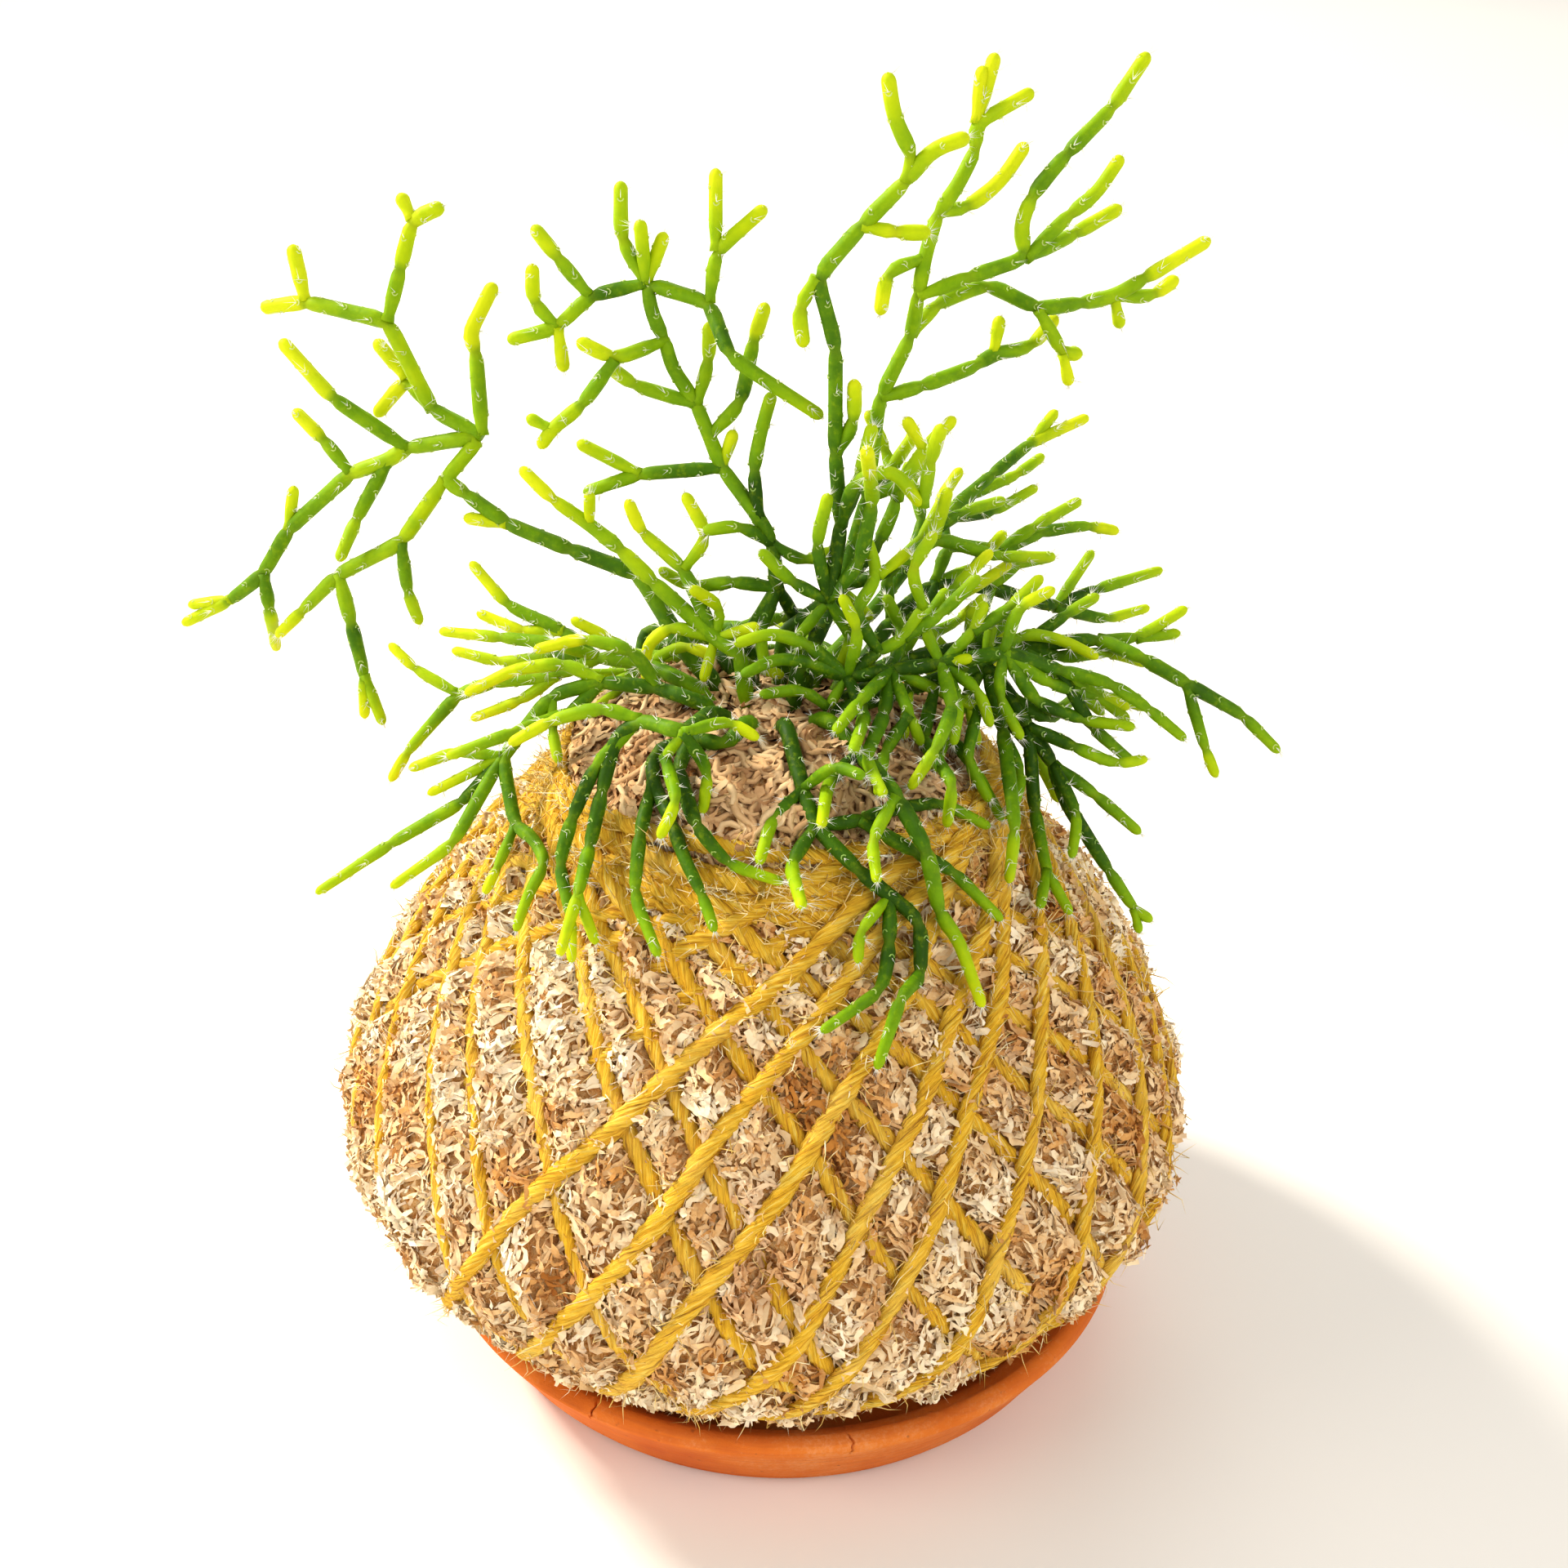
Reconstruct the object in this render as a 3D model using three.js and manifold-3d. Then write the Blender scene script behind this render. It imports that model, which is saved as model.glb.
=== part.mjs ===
import * as THREE from "three";
import { mergeVertices } from "three/addons/utils/BufferGeometryUtils.js";
import Module from "manifold-3d";

// A kokedama: a ball of soil wrapped in dried moss and wound with jute twine, standing in a
// terracotta saucer, with a thin-stemmed jointed cactus growing from its crown.
// Lengths are in mm, +Z is up, and the origin is the middle of the saucer's base.

const wasm = await Module();
wasm.setup();

// The room left between pieces that touch
const gap = 0.4;

// Saucer
const saucerRim = 56.4;
const saucerFoot = 49;
const saucerFootBevel = 1;
const saucerHeight = 15;
const saucerWall = 3.4;
const saucerFloor = 3.8;
const saucerSegments = 40;

// Ball: its outline runs from the flat spot below to the opening at the crown
const ballAxis = [-3, -0.7];
const ballMiddle = 48;
const ballOutline = [
  [36, 5.25], [43.5, 9.6], [48, 14], [55.5, 21], [61.3, 29], [65, 41], [61.7, 53.5],
  [55.5, 66], [47, 77.5], [39, 86.5], [33, 93], [29, 98], [20, 103], [12.4, 105.6],
];
const outlineSteps = 4;

// Moss: it lies mossSink below the outline, and knobSink below it at the knob round the stems
const mossThickness = 10;
const mossSink = 4.7;
const knobSink = 1.6;
const knobStart = 96;
const knobEnd = 103;
const mossDent = 1.6;
const mossSegments = 36;
const mossFoot = 24;
const mossFootSlope = 3;
const neckRadius = 12.4;
const neckFoot = 96.4;
const neckTop = 104.2;

// Soil
const soilTop = 105;
const soilSegments = 24;
const rootDepth = 13;
const holeRings = [4.2, 9.2];
const holeSides = 6;

// Twine
const twineHalfWidth = 1.4;
const twineHalfHeight = 1.15;
const twineSides = 4;
const twineSteps = 28;
const twineLoops = 14;
const twineLift = -2.4;
const twineStep = 2.4;
const twineCrossing = 0.16;
const twinePhase = 17;
const collarAngle = 32.5;
const facingDraw = 0.16;
const slopeDraw = 2;

// Plant
const stemRadius = 1.4;
const stemFoot = 1.3;
const forkRadius = 1;
const tipRadius = 0.8;
const stemSides = 5;
const mouthRise = 1.6;
const holeLead = [[1.2, 8], [4.5, 2.6]];
const stemClearance = 3.4;
const knobClearance = 2.2;
const twineClearance = 3.4;
const twineTop = 97;
const twineFade = 5;
const neckClearance = 1.7;
const soilClearance = 0.5;

const colours = {
  terracotta: 0xc4692f,
  moss: 0xd2bd99,
  soil: 0x4a3526,
  twine: 0xcda53c,
  stem: 0x6fae2a,
};

function material(name, roughness) {
  return new THREE.MeshStandardMaterial({ color: colours[name], roughness, metalness: 0 });
}

function solid(geometry) {
  geometry.deleteAttribute("normal");
  geometry.deleteAttribute("uv");
  const merged = mergeVertices(geometry, 1e-4);
  const data = new wasm.Mesh({
    numProp: 3,
    vertProperties: merged.attributes.position.array,
    triVerts: new Uint32Array(merged.index.array),
  });
  return new wasm.Manifold(data);
}

function mesh(name, body, finish) {
  const data = body.getMesh();
  const geometry = new THREE.BufferGeometry();
  geometry.setAttribute("position", new THREE.BufferAttribute(data.vertProperties, 3));
  geometry.setIndex(new THREE.BufferAttribute(data.triVerts, 1));
  geometry.computeVertexNormals();
  const made = new THREE.Mesh(geometry, finish);
  made.name = name;
  return made;
}

function union(bodies) {
  return bodies.reduce((joined, body) => joined.add(body));
}

function turned(points, segments) {
  const outline = points.map(([r, z]) => new THREE.Vector2(r, z));
  return new THREE.LatheGeometry(outline, segments).rotateX(Math.PI / 2);
}

// The same small whole-number generator gives every random draw.
function draws(seed) {
  let state = seed;
  return () => {
    state = (state * 16807) % 2147483647;
    return state / 2147483647;
  };
}

function radians(degrees) {
  return (degrees * Math.PI) / 180;
}

// Outline of the ball

const smoothOutline = new THREE.SplineCurve(ballOutline.map(([r, z]) => new THREE.Vector2(r, z)))
  .getPoints((ballOutline.length - 1) * outlineSteps)
  .map((p) => [p.x, p.y]);

const outlineRays = smoothOutline.map(([r, z]) => {
  return { angle: Math.atan2(r, z - ballMiddle), reach: Math.hypot(r, z - ballMiddle) };
});

// The distance from the ball's middle to its surface, at an angle from straight up.
function ballReach(angle) {
  const flat = ballMiddle - ballOutline[0][1];
  if (angle >= outlineRays[0].angle) return flat / -Math.cos(angle);
  const above = outlineRays.findIndex((ray) => angle >= ray.angle);
  if (above < 0) return outlineRays[outlineRays.length - 1].reach;
  const upper = outlineRays[above];
  const lower = outlineRays[above - 1];
  const share = (angle - upper.angle) / (lower.angle - upper.angle);
  return THREE.MathUtils.lerp(upper.reach, lower.reach, share);
}

function inset([r, z], depth) {
  const scale = 1 - depth / Math.hypot(r, z - ballMiddle);
  return [r * scale, ballMiddle + (z - ballMiddle) * scale];
}

// The moss lies below the twine that is drawn into it, and swells to the outline at the knob.
function sunk(p) {
  const knob = THREE.MathUtils.smoothstep(p[1], knobStart, knobEnd);
  return inset(p, THREE.MathUtils.lerp(mossSink, knobSink, knob));
}

// The meeting face of moss and soil, moved in by a depth.
function coreOutline(depth) {
  const every = 6;
  const shoulder = neckRadius + 4;
  const rows = smoothOutline.filter((p, i) => i % every === 0 && p[0] > shoulder);
  return rows.map((p) => inset(p, depth));
}

// Saucer: a turned dish with a foot, a wall that leans out and a rounded rim

function saucer() {
  const half = saucerWall / 2;
  const rimSteps = 5;
  const rim = [];
  for (let i = 0; i <= rimSteps; i++) {
    const a = (Math.PI * i) / rimSteps;
    rim.push([saucerRim - half + half * Math.cos(a), saucerHeight - half + half * Math.sin(a)]);
  }
  const inside = saucerFoot - saucerWall;
  const outer = [[0, 0], [saucerFoot - saucerFootBevel, 0], [saucerFoot, saucerFootBevel]];
  const inner = [[inside + 1.5, saucerFloor + 2], [inside - 1, saucerFloor], [0, saucerFloor]];
  return solid(turned([...outer, ...rim, ...inner], saucerSegments));
}

// Moss wrap: a thick shell, dented all over, with a flat foot and a round opening at the crown

function mossLump(azimuth, row) {
  const broad = Math.sin(5 * azimuth + row) * Math.sin(9 * azimuth - 1.7 * row);
  return broad + Math.sin(13 * azimuth + 2.3 * row);
}

function mossWrap() {
  const every = 3;
  const rows = smoothOutline.filter((p, i) => i % every === 0).map(sunk);
  const outer = rows.filter(([r]) => r > neckRadius + 1);
  const inner = coreOutline(mossThickness).reverse();
  const seat = saucerFloor + gap;
  const foot = [[0, seat], [mossFoot, seat], [mossFoot + mossFootSlope, outer[0][1]]];
  const neck = [[neckRadius, neckTop], [neckRadius, neckFoot]];
  const points = [...foot, ...outer, ...neck, ...inner, [0, inner[inner.length - 1][1]]];
  const geometry = turned(points, mossSegments);
  const place = geometry.attributes.position;
  for (let i = 0; i < place.count; i++) {
    const row = i % points.length;
    if (row <= foot.length || row >= foot.length + outer.length) continue;
    const p = new THREE.Vector3().fromBufferAttribute(place, i);
    p.z -= ballMiddle;
    const dent = (mossDent * (2 - mossLump(Math.atan2(p.y, p.x), row))) / 4;
    p.setLength(p.length() - dent);
    place.setXYZ(i, p.x, p.y, p.z + ballMiddle);
  }
  return solid(geometry);
}

// Soil core: fills the moss, with a neck in its opening and a plain hole for each stem

function soilCore(holes) {
  const core = coreOutline(mossThickness + gap);
  const neck = neckRadius - gap;
  const outline = [[0, core[0][1]], ...core, [neck, neckFoot - gap], [neck, soilTop], [0, soilTop]];
  const bore = stemFoot + gap;
  const above = 4;
  const middle = soilTop + (above - rootDepth) / 2;
  const drills = holes.map(([x, y]) => {
    const drill = new THREE.CylinderGeometry(bore, bore, rootDepth + above, holeSides);
    return solid(drill.rotateX(Math.PI / 2).translate(x, y, middle));
  });
  return solid(turned(outline, soilSegments)).subtract(union(drills));
}

// Twine: closed turns that tilt round the ball and brush past its collar. Each passes over the
// others where it climbs one side of the ball, and under them where it comes down the other.

function onBall(direction, lift) {
  const angle = Math.acos(direction.z / direction.length());
  const p = direction.clone().setLength(ballReach(angle) + lift);
  return p.setZ(p.z + ballMiddle);
}

// A closed flat-sided cord: a torus whose rings are carried onto a path.
function cordLoop(path) {
  const geometry = new THREE.TorusGeometry(1, 0.5, twineSides, twineSteps);
  const place = geometry.attributes.position;
  const ringLength = twineSteps + 1;
  for (let i = 0; i < place.count; i++) {
    const along = (2 * Math.PI * (i % ringLength)) / twineSteps;
    const round = (2 * Math.PI * Math.floor(i / ringLength)) / twineSides;
    const here = path(along);
    const tangent = path(along + 0.01).sub(path(along - 0.01)).normalize();
    const out = here.clone().setZ(here.z - ballMiddle).normalize();
    const across = new THREE.Vector3().crossVectors(out, tangent).normalize();
    out.crossVectors(tangent, across);
    here.addScaledVector(out, twineHalfHeight * Math.cos(round));
    here.addScaledVector(across, twineHalfWidth * Math.sin(round));
    place.setXYZ(i, here.x, here.y, here.z);
  }
  return solid(geometry);
}

function twine() {
  const draw = draws(71);
  const loops = [];
  for (let i = 0; i < twineLoops; i++) {
    const facing = radians(twinePhase + (360 * (i + facingDraw * draw())) / twineLoops);
    const slope = radians(90 - collarAngle - slopeDraw * draw());
    const level = new THREE.Vector3(Math.sin(facing), -Math.cos(facing), 0);
    const ahead = new THREE.Vector3(Math.cos(facing), Math.sin(facing), 0);
    const rise = ahead.multiplyScalar(Math.cos(slope)).setZ(Math.sin(slope));
    const path = (a) => {
      const direction = level.clone().multiplyScalar(Math.cos(a)).addScaledVector(rise, Math.sin(a));
      const over = THREE.MathUtils.smoothstep(Math.cos(a), -twineCrossing, twineCrossing);
      return onBall(direction, twineLift + twineStep * over);
    };
    loops.push(cordLoop(path));
  }
  return union(loops);
}

// Plant: each spray is drawn as it looks from a standpoint in front of the plant and above it,
// then laid on a plane of its own through the crown. turn swings the plane about the upright
// through the crown, lean tips its top away, near moves it towards the standpoint, and spin
// carries the whole spray round the ball. hole gives its ring of holes and the way round it.
// Numbers in a run come in pairs, the way across and the way up from the crown, in drawn mm.
// A list inside a run is a fork that leaves the point before it.

const standpoint = new THREE.Vector3(0, -249, 223);
const heart = new THREE.Vector3(-1.5, -0.7, 104.3);
const drawnScale = 0.918;
const drawnRoll = radians(1.75);

const arch = [
  -23, 22, -34, 26, -44, 30, [-51, 31], -51, 35, -54, 37,
  [-61, 27, [-60, 19, -58, 14], -71, 22, [-69, 14, -67, 6, [-64, -2], -67, -1], -77, 16, -81, 12],
  -48, 44, [-49, 57, -50, 60, -46, 68],
  [
    -56, 48, [-60, 53, [-65, 59], -65, 47], -63, 62,
    [-61, 70, -59, 78, [-61, 82], -54, 80], -76, 65, [-78, 74], -83, 64,
  ],
  -60, 42, [-72, 50, -80, 59], -63, 40, [-68, 31, -71, 24], -69, 38, [-73, 43, -78, 48],
  -79, 29, [-78, 36], -83, 22, [-82, 16, -81, 10], -88, 18, [-95, 17], -96, 14,
];
const lowLeft = [
  -11, 12, [-16, 23, -23, 29, -25, 34], -21, 21, -26, 26, -31, 30, [-31, 35], -37, 34, -42, 39,
];
const middle = [
  -1, 20, -2, 27, -4, 31, [-5, 38, -4, 44, -2, 51], -10, 39, [-8, 45], [-23, 38, [-33, 43], -32, 35],
  -12, 44, [-7, 49, -5, 59, -3, 65], -14, 49, [-12, 56, -12, 62], [-24, 52, -28, 55], -18, 55, -19, 59,
  [-27, 56, [-32, 49, -37, 45, [-41, 47], -39, 42], -33, 59],
  -21, 63, -22, 68, [-31, 66, [-36, 72, -40, 77], -36, 61, [-40, 65, -40, 71], [-35, 54], -44, 59],
  [-26, 75, -26, 84], [-23, 78], [-19, 76], -12, 65, [-11, 73, [-11, 86], -3, 80], -9, 57, -5, 54, 6, 47,
];
const tall = [
  7, 18, [5, 27, 7, 35], 9, 30, [12, 38, 14, 46], 8, 41, 8, 48, 8, 58, 7, 62, 5, 69, [2, 64, 3, 58],
  12, 77, [18, 76, 23, 76], 19, 84, [20, 88, 17, 94, 16, 101], 23, 89, 29, 91,
];
const tallest = [
  9, 20, [17, 23, 24, 28, [26, 36], 34, 25, 43, 25], 13, 34, [17, 39, 21, 45],
  15, 50, [22, 52, 30, 55, 33, 57, [34, 63], 39, 58, 43, 63], 20, 60,
  [
    24, 65, 32, 68, 40, 64, [44, 57, [45, 52], 47, 57], 47, 65, 52, 66,
    [53, 61], [58, 66, 62, 69], 57, 69, 67, 75,
  ],
  21, 66,
  [29, 69, 38, 72, [45, 79, 49, 82, 53, 88], [46, 76, 53, 80], 37, 77, 39, 82, 44, 88, 51, 95, 57, 104],
  22, 72, [16, 70, 15, 63], 24, 79, [29, 80, 34, 84, 38, 90], 27, 83, 30, 89, 30, 93,
  [31, 102], [33, 104], 39, 98,
];
const highRight = [
  13, 15, 20, 24, [26, 31, 30, 35, 37, 38, 41, 41], 27, 33, 33, 38, 39, 43, [43, 48], 48, 47,
];
const crownRight = [
  17, 15, [16, 22, 22, 28, 26, 36], 24, 21, [26, 27, 34, 26, 41, 29, 48, 30, 53, 29],
  33, 20, 43, 17, [49, 26], 50, 20, 60, 23,
];
const right = [
  18, 8, [22, 15, 22, 19], 30, 11, [29, 15, 32, 19], 38, 11, [45, 5, 51, 0],
  50, 12, [56, 12, [63, 13], 64, 17], 57, 9, 64, 5, [67, -5, 69, -10], 73, 0, 79, -6,
];
const crownTuft = [
  10, 6, 17, 7, [20, 0, 22, -5], 25, 8, [30, 9], [31, 4, 33, -2], 35, 10, 44, 7, [50, 3, 55, -1],
  52, 5, 58, 1, 64, -4,
];
const fallRight = [
  20, 4, 32, 8, [29, 3, [31, -5], 26, -3, [30, -8, 35, -17], 24, -9], [35, -3, 37, -18, 36, -27],
  36, 3, 39, -2, [40, -15, 42, -25, [41, -31], 46, -32], 43, -8, [50, -13, 57, -19],
  45, -14, 52, -25, 56, -31, [57, -35], 59, -33,
];
const frontRight = [12, -6, 18, -13, 23, -22, 25, -32, 28, -36, 32, -47];
const front = [
  3, -12, 5, -18, [12, -17, [21, -22, 27, -25, 35, -33], 18, -15, 25, -14, 33, -18],
  12, -25, 17, -29, [12, -35, 12, -40], [17, -37, 16, -44, 6, -51], 22, -33, 22, -42, 19, -45, 15, -57,
];
const shortFront = [
  -9, -5, -15, -4,
  [-21, -6, -21, -11, [-23, -19, -24, -29, -20, -39], -18, -17, -16, -23, -13, -29, -11, -35],
  -17, -9, -14, -18, -9, -24, 0, -27,
];
const frontLeft = [
  -16, -3, [-19, -7], -23, -1, [-30, -8, -34, -17, -36, -24, -34, -33, -34, -40], -27, -4, -29, -12,
  -31, -21, -33, -29, [-30, -37], -36, -39,
];
const fallLeft = [
  -20, 4, -29, 5, -37, 3, -45, -7, [-57, -13], [-51, -14, -63, -21, -75, -29], [-53, -21, -63, -28],
  -43, -18, [-46, -25, -48, -29], -40, -20, -38, -24, -41, -29, -43, -35,
];
const left = [
  -22, 8, -30, 9, [-35, 13, -44, 17, -50, 24], [-36, 11, -45, 12, -55, 13],
  -36, 6, -46, 5, -52, 3, [-59, 7, -63, 11], -60, -6, -63, -11,
];

const sprays = [
  { name: "spray_front", run: front, hole: [1, 278], turn: 0, lean: 33, near: 8, spin: 0 },
  { name: "spray_front_right", run: frontRight, hole: [1, 305], turn: 10, lean: 33, near: 8, spin: 0 },
  { name: "spray_front_short", run: shortFront, hole: [1, 254], turn: 0, lean: 33, near: 10, spin: 0 },
  { name: "spray_front_left", run: frontLeft, hole: [1, 230], turn: -8, lean: 30, near: 9, spin: 0 },
  { name: "spray_fall_left", run: fallLeft, hole: [1, 206], turn: -5, lean: 28, near: 6, spin: 0 },
  { name: "spray_fall_right", run: fallRight, hole: [1, 332], turn: 8, lean: 30, near: 6, spin: 0 },
  { name: "spray_left", run: left, hole: [1, 180], turn: -15, lean: 20, near: 1, spin: 0 },
  { name: "spray_crown_tuft", run: crownTuft, hole: [0, 310], turn: 12, lean: 15, near: 9, spin: 0 },
  { name: "spray_right", run: right, hole: [1, 357], turn: 8, lean: 25, near: 2, spin: 0 },
  { name: "spray_arch", run: arch, hole: [1, 153], turn: -16, lean: 14, near: -4, spin: 0 },
  { name: "spray_crown_right", run: crownRight, hole: [1, 25], turn: 25, lean: 15, near: -3, spin: 0 },
  { name: "spray_tall", run: tall, hole: [0, 80], turn: 0, lean: -4, near: 0, spin: 0 },
  { name: "spray_tallest", run: tallest, hole: [0, 15], turn: 18, lean: 8, near: 3, spin: 0 },
  { name: "spray_middle", run: middle, hole: [0, 140], turn: -5, lean: 12, near: 1, spin: 0 },
  { name: "spray_low_left", run: lowLeft, hole: [0, 200], turn: -8, lean: 20, near: 5, spin: 0 },
  { name: "spray_high_right", run: highRight, hole: [1, 52], turn: 30, lean: 38, near: -7, spin: 0 },
  { name: "spray_back", run: front, hole: [1, 104], turn: 0, lean: 33, near: 8, spin: 178 },
  { name: "spray_back_left", run: shortFront, hole: [1, 128], turn: 0, lean: 33, near: 10, spin: -130 },
  { name: "spray_back_right", run: frontLeft, hole: [1, 80], turn: -8, lean: 30, near: 9, spin: -155 },
];

function holeAt([ring, degrees]) {
  const a = radians(degrees);
  return [holeRings[ring] * Math.cos(a), holeRings[ring] * Math.sin(a)];
}

// The point of a spray's plane that is seen at a drawn place.
function laidOut(spray, x, y) {
  const ahead = heart.clone().sub(standpoint);
  const across = new THREE.Vector3(1, 0, 0);
  const up = new THREE.Vector3().crossVectors(across, ahead).normalize();
  const drawn = new THREE.Vector2(x, y).multiplyScalar(drawnScale);
  drawn.rotateAround(new THREE.Vector2(), drawnRoll);
  const sight = ahead.clone().addScaledVector(across, drawn.x).addScaledVector(up, drawn.y);
  const turn = radians(spray.turn);
  const lean = radians(spray.lean);
  const face = new THREE.Vector3(Math.sin(turn), -Math.cos(turn), 0);
  face.multiplyScalar(Math.cos(lean)).setZ(Math.sin(lean));
  return standpoint.clone().addScaledVector(sight, ahead.dot(face) / sight.dot(face));
}

// Whether a point lies in the moss, or closer to it than a stem may lie.
function buried(p) {
  const r = Math.hypot(p.x - ballAxis[0], p.y - ballAxis[1]);
  const z = p.z - ballMiddle;
  if (r < neckRadius && z > 0) return p.z < soilTop + soilClearance && r > neckRadius - neckClearance;
  const aboveTwine = THREE.MathUtils.clamp((p.z - twineTop) / twineFade, 0, 1);
  const clearance = THREE.MathUtils.lerp(twineClearance, knobClearance, aboveTwine);
  return Math.hypot(r, z) < ballReach(Math.atan2(r, z)) + clearance;
}

// The shortest distance between the stretches a to b and c to d.
function segmentGap(a, b, c, d) {
  const u = b.clone().sub(a);
  const v = d.clone().sub(c);
  const w = a.clone().sub(c);
  const uu = u.dot(u);
  const uv = u.dot(v);
  const vv = v.dot(v);
  const uw = u.dot(w);
  const vw = v.dot(w);
  const share = (value) => THREE.MathUtils.clamp(value, 0, 1);
  const det = uu * vv - uv * uv;
  let s = det > 1e-9 ? share((uv * vw - vv * uw) / det) : 0;
  let t = share((uv * s + vw) / vv);
  s = share((uv * t - uw) / uu);
  t = share((uv * s + vw) / vv);
  return w.addScaledVector(u, s).addScaledVector(v, -t).length();
}

// Every stretch of stem laid so far.
const laid = [];

// Whether a stem from a to b keeps clear of the other sprays and, if own is set, of its own spray.
function clear(name, a, b, own) {
  return laid.every((s) => {
    const joined = s.b.distanceTo(a) < 0.01 || s.a.distanceTo(a) < 0.01;
    if (s.name === name && (!own || joined)) return true;
    return segmentGap(a, b, s.a, s.b) > stemClearance;
  });
}

// A point carried round the ball's axis.
function spun(p, degrees) {
  const middle = new THREE.Vector3(ballAxis[0], ballAxis[1], 0);
  return p.clone().sub(middle).applyAxisAngle(new THREE.Vector3(0, 0, 1), radians(degrees)).add(middle);
}

// Follows a run from its start: each joint goes where it was drawn, and where the way there
// would meet the moss or another spray it bends nearer or further along the line of sight.
// A branch ends where no bend is clear.
const bends = [0, 2.5, -2.5, 5, -5, 7.5, -7.5, 10, -10, 13, -13];
const testedShares = [0.4, 0.7, 1];
const mostLifts = 90;

function jointChoices(from, drawn, shift) {
  const toEye = standpoint.clone().sub(drawn).normalize();
  return bends.map((bend) => {
    const to = drawn.clone().addScaledVector(toEye, shift);
    const touching = () => testedShares.some((share) => buried(from.clone().lerp(to, share)));
    const lift = () => {
      for (let n = 0; n < mostLifts && touching(); n++) to.addScaledVector(toEye, 1);
    };
    lift();
    to.addScaledVector(toEye, bend);
    lift();
    return { to, bend };
  });
}

function grow(spray, run, start, depth, chains, forked) {
  const points = [start];
  let shift = depth;
  for (let i = 0; i < run.length; i++) {
    const from = points[points.length - 1];
    if (Array.isArray(run[i])) {
      grow(spray, run[i], from, shift, chains, true);
      continue;
    }
    const choices = jointChoices(from, laidOut(spray, run[i], run[i + 1]), shift);
    i += 1;
    const a = spun(from, spray.spin);
    const fits = (own) => choices.find(({ to }) => clear(spray.name, a, spun(to, spray.spin), own));
    const choice = fits(true) ?? fits(false);
    if (!choice) break;
    shift += choice.bend;
    points.push(choice.to);
    laid.push({ name: spray.name, a, b: spun(choice.to, spray.spin) });
  }
  if (points.length > 1) chains.push({ points, forked });
}

// A stem: a cylinder whose rings are carried onto the joints of a chain.
function stem(points, radii) {
  const last = points.length - 1;
  const geometry = new THREE.CylinderGeometry(1, 1, last, stemSides, last);
  let side = new THREE.Vector3(0.31, 0.87, 0.38);
  const rings = points.map((p, k) => {
    const back = p.clone().sub(points[Math.max(0, k - 1)]).normalize();
    const ahead = points[Math.min(last, k + 1)].clone().sub(p).normalize();
    const along = back.add(ahead).normalize();
    side = side.clone().addScaledVector(along, -side.dot(along)).normalize();
    return { centre: p, side, other: new THREE.Vector3().crossVectors(along, side), radius: radii[k] };
  });
  const place = geometry.attributes.position;
  for (let i = 0; i < place.count; i++) {
    const ring = rings[Math.round(place.getY(i) + last / 2)];
    const p = ring.centre.clone().addScaledVector(ring.side, place.getZ(i) * ring.radius);
    p.addScaledVector(ring.other, place.getX(i) * ring.radius);
    place.setXYZ(i, p.x, p.y, p.z);
  }
  return solid(geometry);
}

function sprayBody(spray) {
  const [x, y] = holeAt(spray.hole);
  const foot = new THREE.Vector3(ballAxis[0] + x, ballAxis[1] + y, soilTop - rootDepth + gap);
  const mouth = foot.clone().setZ(soilTop + mouthRise);
  const [outward, upward] = holeLead[spray.hole[0]];
  const way = radians(spray.hole[1]);
  const lead = new THREE.Vector3(outward * Math.cos(way), outward * Math.sin(way), upward).add(mouth);
  laid.push({ name: spray.name, a: foot, b: mouth });
  laid.push({ name: spray.name, a: mouth, b: lead });
  const chains = [];
  grow(spray, spray.run, spun(lead, -spray.spin), spray.near, chains, false);
  const stems = chains.map(({ points, forked }) => {
    const path = points.map((p) => spun(p, spray.spin));
    const radii = path.map(() => stemRadius);
    radii[0] = forked ? forkRadius : stemFoot;
    radii[radii.length - 1] = tipRadius;
    if (forked) return stem(path, radii);
    return stem([foot, mouth, ...path], [stemFoot, stemFoot, ...radii]);
  });
  return union(stems);
}

const group = new THREE.Group();
const ball = new THREE.Group();
ball.position.set(ballAxis[0], ballAxis[1], 0);
group.add(mesh("saucer", saucer(), material("terracotta", 0.8)));
group.add(ball);
ball.add(mesh("moss_wrap", mossWrap(), material("moss", 1)));
ball.add(mesh("twine", twine(), material("twine", 0.9)));
ball.add(mesh("soil_core", soilCore(sprays.map((spray) => holeAt(spray.hole))), material("soil", 1)));
for (const spray of sprays) {
  group.add(mesh(spray.name, sprayBody(spray), material("stem", 0.5)));
}

export default group;
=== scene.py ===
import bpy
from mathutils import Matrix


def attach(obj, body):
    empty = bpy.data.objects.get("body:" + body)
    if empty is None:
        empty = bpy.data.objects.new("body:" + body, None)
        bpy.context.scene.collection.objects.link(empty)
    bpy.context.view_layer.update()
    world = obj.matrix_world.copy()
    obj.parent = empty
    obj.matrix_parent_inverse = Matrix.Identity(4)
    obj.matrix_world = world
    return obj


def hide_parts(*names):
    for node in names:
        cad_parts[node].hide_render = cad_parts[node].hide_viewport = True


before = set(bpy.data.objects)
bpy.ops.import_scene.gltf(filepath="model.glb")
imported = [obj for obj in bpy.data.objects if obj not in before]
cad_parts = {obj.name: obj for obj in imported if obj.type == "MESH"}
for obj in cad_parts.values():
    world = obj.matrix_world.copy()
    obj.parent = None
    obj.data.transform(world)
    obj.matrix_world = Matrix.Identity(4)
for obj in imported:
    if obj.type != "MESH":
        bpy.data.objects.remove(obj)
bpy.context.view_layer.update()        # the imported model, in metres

import math

import bpy
import numpy as np
from mathutils import Matrix, Quaternion, Vector

print("frame:", len(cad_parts), "nodes")

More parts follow.
